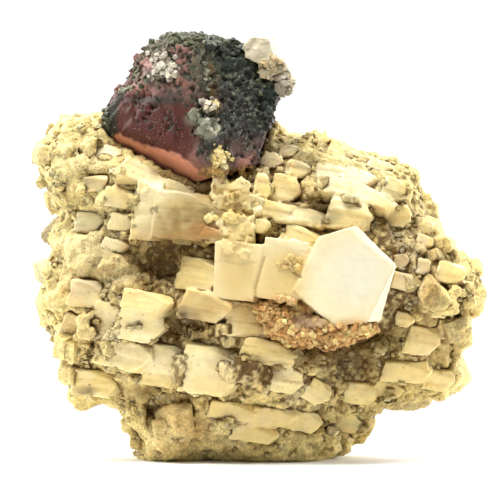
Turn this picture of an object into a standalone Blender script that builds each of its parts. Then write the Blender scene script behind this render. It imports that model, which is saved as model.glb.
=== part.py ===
"""A pink fluorite octahedron grown on a matrix of cream feldspar crystals.

The specimen stands upright on a flat foot. Millimetres in the tables, metres in the meshes; +Z is up
and the show side faces -Y. In the tables Y counts from the plane of the rock's outline; the finished
pieces are moved back by STAND_BACK, so that the origin lies under the middle of the whole specimen.
"""
import math
import random
from dataclasses import dataclass

import bmesh
import bpy
from mathutils import Matrix, Vector, noise

# Driving dimensions, in millimetres
MM = 0.001
CORE_X = -1.8
CORE_Z = 34.6
FRONT_BULGE = 20.0
FRONT_NOSE = 3.5
NOSE_X = 4.0
NOSE_Z = 32.0
NOSE_REACH = 22.0
BACK_BULGE = 21.0
BACK_CLEAVAGE = 15.5
ROUGHNESS = 1.3
GAP = 0.3
STAND_BACK = 3.6
SEED = 11

# The rock's outline seen from the front, clockwise from the upper left shoulder
OUTLINE = (
    (-42.5, 66.0), (-44.3, 63.0), (-44.5, 59.6), (-43.0, 56.6), (-42.2, 54.6), (-41.0, 51.6),
    (-39.8, 48.0), (-41.2, 46.6), (-41.8, 44.0), (-41.4, 42.2), (-42.6, 37.6), (-43.6, 33.6),
    (-43.6, 29.6), (-42.4, 26.4), (-41.0, 23.6), (-39.4, 20.2), (-38.0, 18.6), (-36.4, 17.4),
    (-37.6, 16.4), (-37.2, 13.6), (-35.6, 11.6), (-29.8, 11.8), (-27.4, 10.2), (-26.4, 8.2),
    (-27.4, 6.6), (-25.6, 4.6), (-25.0, 1.4), (-21.8, -7.4), (-12.0, -8.0), (-3.0, -8.0),
    (5.0, -8.0), (12.2, -7.4), (15.6, 0.0), (18.0, 2.8), (21.0, 5.2), (23.0, 8.8), (26.2, 10.8),
    (31.0, 11.2), (33.4, 12.2), (39.0, 13.4), (40.4, 14.6), (40.8, 17.6), (40.0, 22.2),
    (41.6, 24.6), (42.2, 27.4), (43.6, 30.4), (44.3, 32.8), (44.0, 35.8), (44.0, 38.4),
    (41.0, 40.4), (38.4, 44.0), (36.0, 46.6), (34.4, 47.8), (33.6, 51.6), (32.0, 54.0),
    (31.0, 57.0), (28.6, 59.2), (23.4, 60.8), (18.2, 62.0), (14.6, 62.8), (9.8, 64.4),
    (4.6, 65.2), (1.6, 68.0), (-4.8, 68.2), (-11.8, 67.0), (-19.8, 68.0), (-26.8, 68.8),
    (-32.0, 69.2), (-36.0, 69.2), (-40.0, 68.4),
)

# Share of the way from the rock's core to its outline at which each ring of the mesh runs
FRONT_RINGS = (0.15, 0.30, 0.44, 0.57, 0.69, 0.80, 0.90, 0.97)
BACK_RINGS = (0.96, 0.88, 0.77, 0.63, 0.47, 0.30, 0.14)


@dataclass(frozen=True)
class Hollow:
    """A pit in the front: centre, reach across and up, and depth, in millimetres."""

    x: float
    z: float
    across: float
    up: float
    depth: float


@dataclass(frozen=True)
class Block:
    """A blocky crystal by the middle of its front face, its size and how it is turned, in mm and degrees."""

    x: float
    z: float
    length: float
    height: float
    depth: float = 8.0
    proud: float = 1.6
    turn: float = -10.0
    lean: float = 0.0
    tip: float = 0.0
    slant: tuple = (12.0, -14.0)


@dataclass(frozen=True)
class Lump:
    """A rounded lump by its middle, its half sizes and how far it stands out, in millimetres."""

    x: float
    z: float
    across: float
    up: float
    proud: float = 1.5


# Pits of the front: under the fluorite, beside the prisms, under the crust, in the druse, low on the left
HOLLOWS = (
    Hollow(-13.2, 54.8, 4.6, 3.0, 4.5),
    Hollow(-20.0, 57.6, 2.6, 1.8, 2.5),
    Hollow(-27.6, 62.8, 4.8, 2.8, 6.0),
    Hollow(-19.6, 60.2, 5.0, 2.6, 5.0),
    Hollow(24.0, 47.8, 2.8, 2.0, 3.5),
    Hollow(13.0, 49.8, 3.2, 2.4, 2.5),
    Hollow(14.5, 23.6, 7.0, 2.6, 4.5),
    Hollow(19.5, 19.8, 6.0, 4.0, 3.5),
    Hollow(24.5, 25.0, 6.5, 4.0, 3.0),
    Hollow(-18.0, 39.5, 7.5, 4.8, 3.5),
    Hollow(-15.0, 28.2, 4.4, 2.8, 5.0),
    Hollow(-21.0, 11.6, 3.0, 4.4, 5.5),
    Hollow(38.0, 20.6, 3.2, 3.0, 3.0),
    Hollow(-37.2, 65.2, 1.6, 1.6, 2.0),
    Hollow(-28.6, 65.0, 2.4, 1.2, 2.5),
    Hollow(-36.6, 60.6, 3.4, 1.4, 2.5),
    Hollow(-37.4, 52.4, 2.0, 1.6, 2.5),
    Hollow(-32.4, 37.4, 2.6, 2.0, 2.5),
    Hollow(27.5, 31.0, 3.4, 2.2, 2.0),
    Hollow(6.8, 64.0, 2.6, 1.4, 2.0),
)

# The crystals that can be told apart on the front, from the top down
BLOCKS = (
    # around and under the fluorite's lower edge
    Block(-23.2, 58.2, 7.6, 4.4, 8, 2.2, -24, -4, 8),
    Block(-30.0, 62.0, 5.6, 3.6, 7, 1.2, -8, -6, 6),
    Block(-32.6, 55.8, 4.6, 3.0, 6, 1.2, 4),
    Block(-27.6, 53.0, 6.4, 3.8, 7, 1.4, -8),
    Block(1.0, 55.4, 3.2, 5.6, 6, 1.4, -6),
    Block(5.4, 54.8, 5.4, 5.6, 7, 1.6, -12),
    Block(3.0, 60.6, 4.2, 3.2, 6, 1.4, -14),
    Block(8.0, 58.8, 4.4, 3.4, 6, 1.2, -10),
    Block(6.2, 62.4, 3.4, 2.4, 5, 1.4, 6),
    # the big cream block and its neighbours
    Block(-22.0, 50.6, 5.2, 11.6, 9, 2.6, -4, -10, 0, (4, -4)),
    Block(-13.6, 49.6, 13.6, 9.2, 10, 3.4, -5, 3, 4, (2, -10)),
    Block(-17.4, 55.0, 9.6, 4.0, 8, 2.6, -12, 0, 10),
    Block(-8.4, 45.6, 5.6, 2.6, 7, 3.0, -14),
    Block(-27.2, 48.2, 5.0, 3.4, 6, 1.6, -6),
    Block(-28.6, 43.6, 5.2, 2.6, 6, 1.4, -10),
    Block(-34.0, 48.0, 5.4, 4.4, 6, 1.2, 4),
    # the tapered prisms and the barrel crystals right of the middle
    Block(2.6, 51.0, 8.6, 3.2, 7, 2.4, -9, 0, 8, (8, -34)),
    Block(9.4, 49.4, 11.2, 3.8, 8, 2.8, -10, 2, 6, (10, -40)),
    Block(0.8, 47.6, 3.2, 2.6, 6, 2.4, -6),
    Block(8.6, 45.2, 7.0, 4.6, 8, 2.2, -20, 0, 6),
    Block(20.4, 54.2, 14.6, 4.2, 8, 2.4, -15, 4, 10, (16, -24)),
    Block(18.0, 49.6, 8.0, 6.0, 8, 2.6, -10, 4, 4, (8, -20)),
    Block(20.4, 57.2, 6.0, 4.0, 7, 1.8, -12, 0, 12),
    Block(14.6, 57.8, 6.0, 4.6, 7, 1.8, -8, 0, 10),
    Block(27.6, 54.8, 4.8, 4.2, 6, 1.4, -18),
    Block(12.4, 64.4, 3.2, 3.6, 4, 1.8, 8),
    Block(28.4, 49.6, 5.0, 4.8, 7, 1.6, -8),
    Block(24.6, 59.4, 4.6, 2.8, 5, 1.0, -20),
    # the fine crystals of the right side
    Block(33.2, 39.4, 2.8, 3.2, 5, 1.4, -4),
    Block(29.0, 36.4, 4.2, 3.2, 6, 1.4, -12),
    Block(28.6, 40.6, 3.0, 2.4, 5, 1.2, 6),
    Block(33.6, 44.2, 3.6, 2.6, 5, 1.2, -16),
    Block(38.6, 38.0, 5.4, 4.2, 6, 1.4, -10),
    Block(40.6, 34.0, 5.0, 4.6, 6, 1.2, -12),
    Block(36.8, 30.6, 4.2, 3.6, 6, 1.2, -8),
    Block(38.2, 26.4, 4.6, 4.0, 6, 1.4, -4),
    Block(33.0, 24.2, 6.0, 5.6, 7, 1.6, -8),
    Block(29.2, 28.6, 3.6, 2.8, 5, 1.0, -14),
    Block(29.8, 17.8, 9.0, 4.0, 7, 1.4, -4),
    Block(36.4, 16.0, 5.6, 3.8, 6, 1.0, -6),
    # the middle and the shaded band under the plates
    Block(-11.6, 38.0, 8.6, 6.6, 8, 2.4, -6, 2, 4, (6, -10)),
    Block(-10.4, 31.6, 9.2, 5.8, 8, 2.2, -10, 0, 0),
    Block(-22.0, 32.8, 9.6, 3.8, 7, 2.2, -8, 0, 6, (4, -30)),
    Block(-0.8, 28.8, 9.6, 6.8, 8, 1.6, -8),
    Block(2.8, 22.4, 11.4, 4.8, 8, 1.8, -9),
    Block(11.6, 21.0, 7.2, 2.8, 6, 1.6, -6),
    Block(5.8, 17.0, 6.8, 5.6, 7, 1.8, -10),
    Block(11.8, 14.0, 5.0, 4.6, 6, 2.2, -30),
    Block(-3.8, 18.0, 4.0, 3.6, 6, 1.4, -12),
    # the big crystals of the lower left
    Block(-30.0, 28.0, 6.4, 8.4, 8, 1.8, -10, -6),
    Block(-23.4, 28.0, 8.6, 7.6, 9, 2.8, -10, -2, 2),
    Block(-26.6, 22.2, 10.0, 7.0, 9, 2.6, -14),
    Block(-17.6, 19.2, 9.0, 8.6, 9, 2.8, -8, -4, 0),
    Block(-9.4, 18.6, 11.0, 9.6, 10, 3.6, -9, 4, 2, (4, -18)),
    Block(-34.6, 33.8, 6.2, 5.2, 7, 1.4, -6),
    Block(-36.6, 26.6, 6.0, 5.8, 7, 1.4, -18),
    Block(-32.8, 15.6, 9.0, 5.0, 7, 1.6, -4),
    Block(-35.0, 20.6, 5.6, 3.8, 6, 1.4, -12),
    # the foot
    Block(-5.0, 10.4, 9.0, 3.4, 7, 1.6, -8),
    Block(3.4, 9.2, 8.4, 3.6, 7, 1.4, -6),
    Block(-0.6, 5.8, 8.8, 3.2, 7, 1.4, -8),
    Block(9.6, 8.0, 6.0, 4.0, 6, 1.4, -10),
    Block(20.8, 13.4, 7.4, 4.4, 6, 1.2, -6),
    Block(26.4, 14.0, 5.6, 3.6, 6, 1.0, -10),
    Block(18.6, 7.4, 5.2, 4.2, 6, 1.2, -20),
)

# Rounded lumps: the shoulder, the left side, and the yellow ones of the foot
LUMPS = (
    Lump(-41.6, 61.4, 3.0, 3.2),
    Lump(-38.6, 64.8, 3.2, 2.6),
    Lump(-34.8, 66.2, 3.0, 2.4),
    Lump(-31.0, 66.8, 2.6, 2.0),
    Lump(-39.6, 57.4, 3.2, 2.8),
    Lump(-34.6, 59.0, 3.2, 2.0),
    Lump(-38.4, 52.8, 3.0, 2.6),
    Lump(-33.4, 63.0, 2.4, 2.0),
    Lump(-27.0, 61.6, 2.8, 1.8),
    Lump(-39.0, 44.4, 3.2, 3.0),
    Lump(-34.6, 42.4, 3.6, 2.8),
    Lump(-39.6, 37.8, 3.4, 3.0),
    Lump(-34.0, 38.6, 3.0, 2.6),
    Lump(-40.2, 31.4, 3.4, 3.2),
    Lump(-28.4, 39.4, 3.2, 2.6),
    Lump(-24.8, 9.4, 3.0, 2.8, 2.2),
    Lump(-15.6, 8.0, 3.4, 3.8, 2.6),
    Lump(-18.4, 4.2, 3.6, 3.0, 2.0),
    Lump(-10.0, 5.6, 3.2, 2.6, 2.0),
    Lump(12.8, 4.0, 3.6, 3.0, 1.8),
    Lump(16.8, 2.6, 2.6, 2.4, 1.4),
    Lump(-36.4, 13.8, 2.2, 2.0),
    Lump(42.0, 30.6, 2.4, 2.2),
    Lump(34.6, 50.0, 2.4, 2.6),
    Lump(29.6, 58.0, 2.2, 1.6),
    Lump(9.8, 64.2, 2.6, 1.6),
    Lump(1.4, 65.6, 2.6, 2.2),
)

# How many unnamed small crystals stand on the front and on the broken back
FRONT_GRAINS = 18
BACK_GRAINS = 12

# The fluorite: its middle, and its planes as (right, up, towards the viewer) and distance from the middle
FLUORITE_X = -12.6
FLUORITE_Y = -8.4
FLUORITE_Z = 71.0
FLUORITE_FACES = (
    ((-0.56, -0.10, 0.82), 10.5),
    ((0.56, 0.12, 0.82), 12.4),
    ((-0.80, 0.555, 0.22), 12.9),
    ((0.02, 0.94, 0.34), 16.1),
    ((0.35, 0.92, 0.12), 14.6),
    ((-0.04, 0.99, -0.10), 13.9),
    ((0.97, 0.20, 0.08), 17.2),
    ((0.92, -0.37, -0.10), 14.4),
    ((0.25, -0.95, 0.12), 15.1),
    ((-0.555, -0.645, 0.527), 12.9),
    ((-0.39, -0.92, -0.05), 13.6),
    ((-0.58, -0.20, -0.79), 12.7),
    ((0.54, 0.25, -0.80), 12.5),
    ((0.0, 0.62, -0.78), 14.0),
    ((0.0, -0.70, -0.71), 12.0),
)
# Growth steps on the fluorite: which plane, how far its layer rises, and the cuts that bound it
GROWTH_STEPS = (
    (0, 0.6, (((0.10, 0.99, 0.0), 7.6), ((0.97, -0.10, 0.20), -1.4), ((-0.80, 0.50, 0.20), 10.4))),
    (0, 1.0, (((-0.45, -0.89, 0.0), -4.2), ((0.80, 0.30, 0.50), 2.4))),
    (1, 0.6, (((-0.95, 0.20, 0.20), -1.2), ((0.30, 0.95, 0.0), 8.4))),
    (1, 1.0, (((-0.30, 0.90, 0.30), 3.0), ((-0.98, 0.15, 0.1), -9.6))),
    (2, 1.2, (((0.55, 0.83, 0.0), -4.6),)),
    (2, 0.7, (((-0.50, -0.86, 0.0), -2.0),)),
    (3, 0.8, (((-0.98, 0.10, 0.1), 1.0), ((0.95, 0.10, -0.2), 6.0))),
    (5, 0.9, (((-0.1, -0.98, 0.1), -1.4),)),
)

# Small crystals grown on the fluorite's front: right, up, length, height, thickness, turn, in mm and degrees
FLUORITE_GROWTHS = (
    (-7.0, 9.6, 3.2, 2.4, 1.8, 20.0),
    (-5.2, 7.2, 2.6, 2.2, 1.6, -30.0),
    (-7.4, 6.2, 2.0, 1.8, 1.4, 10.0),
    (3.2, 0.4, 2.8, 2.0, 2.2, 25.0),
    (0.4, -2.2, 3.6, 1.6, 1.6, -35.0),
    (2.8, -4.8, 3.4, 1.6, 1.6, -60.0),
    (4.4, -10.0, 2.4, 2.2, 2.0, 15.0),
    (5.0, -12.6, 2.6, 2.0, 2.0, -20.0),
    (14.6, 3.2, 1.6, 3.6, 1.8, -12.0),
    (13.6, -1.4, 1.4, 4.0, 1.6, -10.0),
)

# The perched quartz on the fluorite's upper right edge: place, half sizes and turn, in mm and degrees
PERCH_Y = -12.9
PERCHED = (
    (0.4, 82.6, 2.9, 2.7, 2.6, -38.0),
    (2.6, 79.6, 2.4, 2.0, 2.2, 18.0),
    (0.6, 78.4, 1.9, 1.6, 2.0, -20.0),
    (4.4, 77.2, 1.9, 2.4, 2.0, 30.0),
    (4.8, 75.4, 1.5, 1.6, 1.7, -10.0),
)

# The six-sided white plate: middle of its front, thickness, lean, and its sides as (right, up) and distance
PLATE_X = 17.2
PLATE_Y = -28.0
PLATE_Z = 37.6
PLATE_DEPTH = 7.0
PLATE_LEAN = 5.0
PLATE_TIP = 7.0
PLATE_SIDES = (
    ((0.717, 0.697), 8.5),
    ((0.964, -0.266), 8.9),
    ((0.129, -0.992), 9.7),
    ((-0.688, -0.726), 9.4),
    ((-0.901, 0.434), 8.3),
    ((-0.278, 0.961), 9.0),
)
# Its bevels, as (right, towards the viewer, up) and distance
PLATE_BEVELS = (
    ((0.70, 0.62, -0.36), 8.2),
    ((0.45, 0.72, 0.52), 7.6),
    ((-0.40, 0.80, -0.45), 8.0),
)

# Crystals grown into the plate: middle of the front face (x, y, z), length, height, depth, turn, lean, tip
PLATE_NEIGHBOURS = (
    (-3.8, -26.2, 38.6, 8.4, 11.4, 8.0, -2.0, -10.0, 2.0),
    (4.4, -26.6, 38.8, 8.0, 12.2, 8.0, -6.0, 4.0, 4.0),
    (8.0, -26.0, 41.6, 6.0, 5.0, 7.0, -24.0, 0.0, 8.0),
    (-4.0, -24.6, 46.4, 6.6, 5.8, 8.0, 6.0, -6.0, 6.0),
    (-5.6, -22.2, 53.2, 6.4, 6.8, 8.0, 10.0, -4.0, 6.0),
    (-2.6, -22.4, 51.6, 4.4, 5.4, 7.0, -20.0, 8.0, 0.0),
    (-7.4, -21.6, 50.4, 3.6, 3.4, 6.0, 24.0, -10.0, 0.0),
)

# The rusty crust under the plates: middle, half sizes across, through and up, in millimetres
CRUST_LUMPS = (
    (9.4, -21.6, 29.0, 9.4, 5.4, 4.4),
    (1.8, -23.4, 30.6, 3.0, 4.2, 2.4),
    (4.4, -24.4, 28.2, 3.4, 4.2, 3.0),
    (7.0, -24.6, 26.6, 3.2, 4.0, 2.6),
    (10.2, -25.2, 26.2, 3.4, 4.0, 2.4),
    (13.4, -25.4, 25.6, 3.4, 4.0, 2.2),
    (16.2, -25.8, 26.4, 3.6, 3.8, 2.2),
    (20.0, -25.2, 27.6, 3.2, 3.8, 1.9),
    (12.4, -26.6, 28.2, 4.6, 3.0, 2.0),
)


def clear_scene():
    """Starts from an empty scene."""
    for thing in list(bpy.data.objects):
        bpy.data.objects.remove(thing, do_unlink=True)


def stone(name, colour, roughness, transmission=0.0):
    """A mineral's surface: one Principled material."""
    made = bpy.data.materials.new(name)
    made.use_nodes = True
    shader = made.node_tree.nodes["Principled BSDF"]
    shader.inputs["Base Color"].default_value = (*colour, 1.0)
    shader.inputs["Roughness"].default_value = roughness
    shader.inputs["Metallic"].default_value = 0.0
    shader.inputs["Transmission Weight"].default_value = transmission
    shader.inputs["IOR"].default_value = 1.5
    made.diffuse_color = (*colour, 1.0)
    return made


def add_object(name, form, material=None):
    """Puts a bmesh into the scene as a named object."""
    mesh = bpy.data.meshes.new(name)
    bmesh.ops.recalc_face_normals(form, faces=form.faces)
    form.to_mesh(mesh)
    form.free()
    made = bpy.data.objects.new(name, mesh)
    bpy.context.scene.collection.objects.link(made)
    if material:
        mesh.materials.append(material)
    return made


def cut_crystal(faces, reach):
    """A convex crystal from its face planes: each a direction and a distance from its middle, in metres."""
    form = bmesh.new()
    bmesh.ops.create_cube(form, size=2 * reach)
    for direction, distance in faces:
        out = Vector(direction).normalized()
        cut = bmesh.ops.bisect_plane(
            form,
            geom=form.verts[:] + form.edges[:] + form.faces[:],
            plane_co=out * distance,
            plane_no=out,
            clear_outer=True,
        )
        rim = [part for part in cut["geom_cut"] if isinstance(part, bmesh.types.BMEdge)]
        if rim:
            bmesh.ops.contextual_create(form, geom=rim)
    bmesh.ops.remove_doubles(form, verts=form.verts, dist=0.00002)
    bmesh.ops.recalc_face_normals(form, faces=form.faces)
    return form


def outline_reach(x, z):
    """How far out a point of the front view lies: 0 at the rock's core, 1 on its outline."""
    away = Vector((x - CORE_X, z - CORE_Z))
    if away.length < 1e-6:
        return 0.0
    heading = away.normalized()
    for index, point in enumerate(OUTLINE):
        start = Vector(point) - Vector((CORE_X, CORE_Z))
        end = Vector(OUTLINE[(index + 1) % len(OUTLINE)]) - Vector((CORE_X, CORE_Z))
        side = end - start
        across = heading.cross(side)
        if abs(across) < 1e-9:
            continue
        along = start.cross(side) / across
        share = start.cross(heading) / across
        if along > 0 and -1e-6 <= share <= 1 + 1e-6:
            return away.length / along
    return 1.0


def ruggedness(x, y, z, scale, amount):
    """Seeded relief of the broken rock, in millimetres."""
    return amount * noise.noise(Vector((x, y, z)) / scale + Vector((3.1, 7.7, SEED)))


def ledges(x, y, z, size, amount):
    """Seeded steps of the broken rock: one height for each blocky cell, in millimetres."""
    return amount * noise.cell(Vector((x + 0.3 * z, y, z - 0.2 * x)) / size + Vector((0.4, 0.6, SEED)))


def rim_shift(x, z):
    """The outline weaves forwards and back instead of lying in one plane."""
    return ruggedness(x, 0.0, z, 17.0, 5.0)


def front_depth(x, z):
    """Y of the rock's front under a point of the front view, in millimetres."""
    reach = min(outline_reach(x, z), 1.0)
    nose = FRONT_NOSE * math.exp(-((x - NOSE_X) ** 2 + (z - NOSE_Z) ** 2) / NOSE_REACH**2)
    depth = (FRONT_BULGE + nose) * (1.0 - reach**2.6) ** 0.55
    fade = 1.0 - reach**6
    depth += fade * (ruggedness(x, 5.0, z, 7.0, ROUGHNESS) + ruggedness(x, 9.0, z, 3.4, 0.6 * ROUGHNESS))
    for pit in HOLLOWS:
        near = ((x - pit.x) / pit.across) ** 2 + ((z - pit.z) / pit.up) ** 2
        depth -= pit.depth * math.exp(-(near**1.5)) * fade
    return rim_shift(x, z) - max(depth, -1.0)


def back_depth(x, z):
    """Y of the rock's back, flattened where it broke along a cleavage."""
    reach = min(outline_reach(x, z), 1.0)
    depth = BACK_BULGE * (1.0 - reach**3.0) ** 0.5
    fade = 1.0 - reach**6
    depth = min(depth, BACK_CLEAVAGE + 0.12 * x + 0.05 * z)
    depth += fade * (ruggedness(x, -40.0, z, 8.0, 2.4) + ledges(x, -40.0, z, 9.0, 1.3))
    return rim_shift(x, z) + depth


def rock_form():
    """The matrix without its crystals: rings from the core to the outline, front and back."""
    form = bmesh.new()

    def ring(share, depth_at):
        made = []
        for px, pz in OUTLINE:
            x = CORE_X + share * (px - CORE_X)
            z = CORE_Z + share * (pz - CORE_Z)
            made.append(form.verts.new((x * MM, depth_at(x, z) * MM, z * MM)))
        return made

    front_tip = form.verts.new((CORE_X * MM, front_depth(CORE_X, CORE_Z) * MM, CORE_Z * MM))
    back_tip = form.verts.new((CORE_X * MM, back_depth(CORE_X, CORE_Z) * MM, CORE_Z * MM))
    rings = [ring(share, front_depth) for share in FRONT_RINGS]
    rings.append(ring(1.0, rim_shift))
    rings += [ring(share, back_depth) for share in BACK_RINGS]
    count = len(OUTLINE)
    for near, far in zip(rings, rings[1:]):
        for step in range(count):
            after = (step + 1) % count
            form.faces.new((near[step], near[after], far[after], far[step]))
    for step in range(count):
        after = (step + 1) % count
        form.faces.new((front_tip, rings[0][after], rings[0][step]))
        form.faces.new((back_tip, rings[-1][step], rings[-1][after]))
    bmesh.ops.triangulate(form, faces=form.faces)
    return form


def surface_turn(x, z, depth_at, follow):
    """Turns a crystal part of the way towards the slope that it stands on."""
    step = 1.5
    slope_x = (depth_at(x + step, z) - depth_at(x - step, z)) / (2 * step)
    slope_z = (depth_at(x, z + step) - depth_at(x, z - step)) / (2 * step)
    yaw = follow * math.atan(slope_x)
    pitch = -follow * math.atan(slope_z)
    limit = math.radians(55)
    yaw = max(-limit, min(limit, yaw))
    pitch = max(-limit, min(limit, pitch))
    return Matrix.Rotation(yaw, 4, "Z") @ Matrix.Rotation(pitch, 4, "X")


def block_form(block, grow=0.0):
    """One crystal: a box with slanted ends and two bevelled edges, set on the rock's front."""
    half = Vector((block.length / 2 + grow, block.depth / 2 + grow, block.height / 2 + grow)) * MM
    left, right = (math.radians(angle) for angle in block.slant)
    corner = 0.82 * math.hypot(half.x, half.z)
    faces = [
        ((1, 0, 0), 4 * half.x),
        ((0, -1, 0), half.y),
        ((0, 1, 0), half.y),
        ((0, 0, 1), half.z),
        ((0, 0, -1), half.z),
        ((-math.cos(left), 0.12, math.sin(left)), half.x),
        ((math.cos(right), 0.10, -math.sin(right)), half.x),
        ((0.25, -0.65, 0.72), 0.62 * (half.y + half.z)),
        ((0.75, -0.25, -0.62), corner),
    ]
    form = cut_crystal(faces, 2.2 * max(half))
    around = (
        Matrix.Rotation(math.radians(-block.turn), 4, "Y")
        @ Matrix.Rotation(math.radians(block.lean), 4, "Z")
        @ Matrix.Rotation(math.radians(-block.tip), 4, "X")
    )
    turn = surface_turn(block.x, block.z, front_depth, 0.45) @ around
    face = Vector((block.x, front_depth(block.x, block.z) - block.proud, block.z)) * MM
    middle = face - turn @ Vector((0, -block.depth / 2 * MM, 0))
    bmesh.ops.transform(form, matrix=Matrix.Translation(middle) @ turn, verts=form.verts)
    return form


def lump_form(lump, grow=0.0):
    """One rounded lump: a squashed ball with facets pushed in and out."""
    form = bmesh.new()
    bmesh.ops.create_icosphere(form, subdivisions=1, radius=1.0)
    deep = 0.5 * (lump.across + lump.up)
    for vert in form.verts:
        bump = 1.0 + 0.16 * noise.noise(vert.co * 1.7 + Vector((lump.x, lump.z, SEED)))
        size = Vector((lump.across + grow, deep + grow, lump.up + grow))
        vert.co = Vector(a * b for a, b in zip(vert.co, size)) * bump
    y = front_depth(lump.x, lump.z) + deep - lump.proud - 0.4
    for vert in form.verts:
        vert.co = (vert.co + Vector((lump.x, y, lump.z))) * MM
    return form


def grain_form(draw, depth_at, behind):
    """One unnamed crystal of the crust, at a place drawn inside the outline."""
    while True:
        x = draw.uniform(-43.0, 43.0)
        z = draw.uniform(1.5, 68.0)
        reach = outline_reach(x, z)
        if 0.25 < reach < 0.97:
            break
    size = draw.uniform(0.9, 1.7) if not behind else draw.uniform(1.2, 2.8)
    length = size * draw.uniform(1.0, 1.9)
    faces = [
        ((1, 0.1, 0.15), length),
        ((-1, 0.12, -0.1), length),
        ((0, -1, 0), 2.2),
        ((0, 1, 0), 3.0),
        ((0.05, 0, 1), size),
        ((-0.05, 0, -1), size),
        ((draw.uniform(-0.6, 0.6), -0.7, draw.uniform(0.2, 0.8)), 0.75 * (size + 2.2)),
    ]
    form = cut_crystal([(way, far * MM) for way, far in faces], 6 * MM)
    turn = surface_turn(x, z, depth_at, 0.8)
    spin = Matrix.Rotation(math.radians(draw.uniform(-40.0, 25.0)), 4, "Y")
    face_about = Matrix.Rotation(math.pi if behind else 0.0, 4, "Z")
    sink = draw.uniform(-1.6, -0.7) * (1 if not behind else -1)
    middle = Vector((x, depth_at(x, z) + sink, z)) * MM
    place = Matrix.Translation(middle) @ turn @ spin @ face_about
    bmesh.ops.transform(form, matrix=place, verts=form.verts)
    return form


def fluorite_front(right, up):
    """How far the fluorite's skin stands towards the viewer at a place on its front, in millimetres."""
    reaches = [
        (distance * Vector(way).length - way[0] * right - way[1] * up) / way[2]
        for way, distance in FLUORITE_FACES
        if way[2] > 0.3
    ]
    return min(reaches)


def to_world(way):
    """A direction given as right, up, towards the viewer, in world axes."""
    right, up, near = way
    return (right, -near, up)


def fluorite_form(grow=0.0, raised=None, rise=0.0, cuts=()):
    """The octahedral crystal, or one growth layer that stands on one of its planes."""
    faces = []
    for index, (way, distance) in enumerate(FLUORITE_FACES):
        inset = 0.0 if raised is None else -0.35
        lift = rise if index == raised else inset
        faces.append((to_world(way), (distance + lift + grow) * MM))
    for way, distance in cuts:
        faces.append((to_world(way), (distance + grow) * MM))
    form = cut_crystal(faces, 40 * MM)
    middle = Vector((FLUORITE_X, FLUORITE_Y, FLUORITE_Z)) * MM
    bmesh.ops.translate(form, vec=middle, verts=form.verts)
    return form


def combine(target, form, operation):
    """Adds a closed form to the target, or cuts it away, with an exact Boolean."""
    tool = add_object("tool", form)
    step = target.modifiers.new(operation.title(), "BOOLEAN")
    step.operation = operation
    step.solver = "EXACT"
    step.object = tool
    view = bpy.context.evaluated_depsgraph_get()
    result = bpy.data.meshes.new_from_object(target.evaluated_get(view))
    target.modifiers.clear()
    old = target.data
    target.data = result
    bpy.data.meshes.remove(old)
    bpy.data.objects.remove(tool, do_unlink=True)


def keep_outer_skin(target):
    """Fills pockets sealed between grown-together crystals: only the outer skin stays."""
    form = bmesh.new()
    form.from_mesh(target.data)
    bmesh.ops.triangulate(form, faces=form.faces)
    unseen = set(form.verts)
    shells = []
    while unseen:
        shell = []
        todo = [unseen.pop()]
        while todo:
            vert = todo.pop()
            shell.append(vert)
            for edge in vert.link_edges:
                other = edge.other_vert(vert)
                if other in unseen:
                    unseen.remove(other)
                    todo.append(other)
        shells.append(shell)
    shells.sort(key=len, reverse=True)
    for shell in shells[1:]:
        bmesh.ops.delete(form, geom=shell, context="VERTS")
    form.to_mesh(target.data)
    form.free()


def grow_together(target, forms, cutters=()):
    """Joins the forms to the target one after another, then clears the space of its neighbours."""
    for form in forms:
        combine(target, form, "UNION")
    for cutter in cutters:
        combine(target, cutter, "DIFFERENCE")
    keep_outer_skin(target)
    return target


def perched_form(index, grow=0.0):
    """One crystal of the perched quartz: a short prism with a slanted top."""
    x, z, across, up, through, turn = PERCHED[index]
    faces = [
        ((1, 0.1, 0.1), across + grow),
        ((-1, 0.15, 0), across + grow),
        ((0, -1, 0.1), through + grow),
        ((0, 1, 0), through + grow),
        ((0.55, -0.2, 0.8), up + grow),
        ((-0.55, -0.1, 0.85), up + grow),
        ((0.2, 0, -1), up + grow),
    ]
    form = cut_crystal([(way, far * MM) for way, far in faces], 8 * MM)
    spin = Matrix.Rotation(math.radians(-turn), 4, "Y")
    place = Matrix.Translation(Vector((x, PERCH_Y + 0.3 * index, z)) * MM) @ spin
    bmesh.ops.transform(form, matrix=place, verts=form.verts)
    return form


def growth_form(growth, grow=0.0):
    """One small crystal that stands on the fluorite's front."""
    right, up, length, height, thick, turn = growth
    faces = [
        ((1, 0.2, 0.1), length / 2 + grow),
        ((-1, 0.2, -0.15), length / 2 + grow),
        ((0.15, -1, 0.1), thick / 2 + 0.4 + grow),
        ((0, 1, 0), 1.6 + grow),
        ((-0.1, 0.1, 1), height / 2 + grow),
        ((0.1, 0.2, -1), height / 2 + grow),
    ]
    form = cut_crystal([(way, far * MM) for way, far in faces], 8 * MM)
    spin = Matrix.Rotation(math.radians(-turn), 4, "Y")
    y = FLUORITE_Y - fluorite_front(right, up)
    middle = Vector((FLUORITE_X + right, y, FLUORITE_Z + up)) * MM
    bmesh.ops.transform(form, matrix=Matrix.Translation(middle) @ spin, verts=form.verts)
    return form


def fluorite_clearance():
    """The space that the fluorite takes up with its layers and small crystals, with the gap around it."""
    forms = [fluorite_form(GAP)]
    forms += [fluorite_form(GAP, plane, rise, cuts) for plane, rise, cuts in GROWTH_STEPS]
    return forms + [growth_form(growth, GAP) for growth in FLUORITE_GROWTHS]


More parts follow.
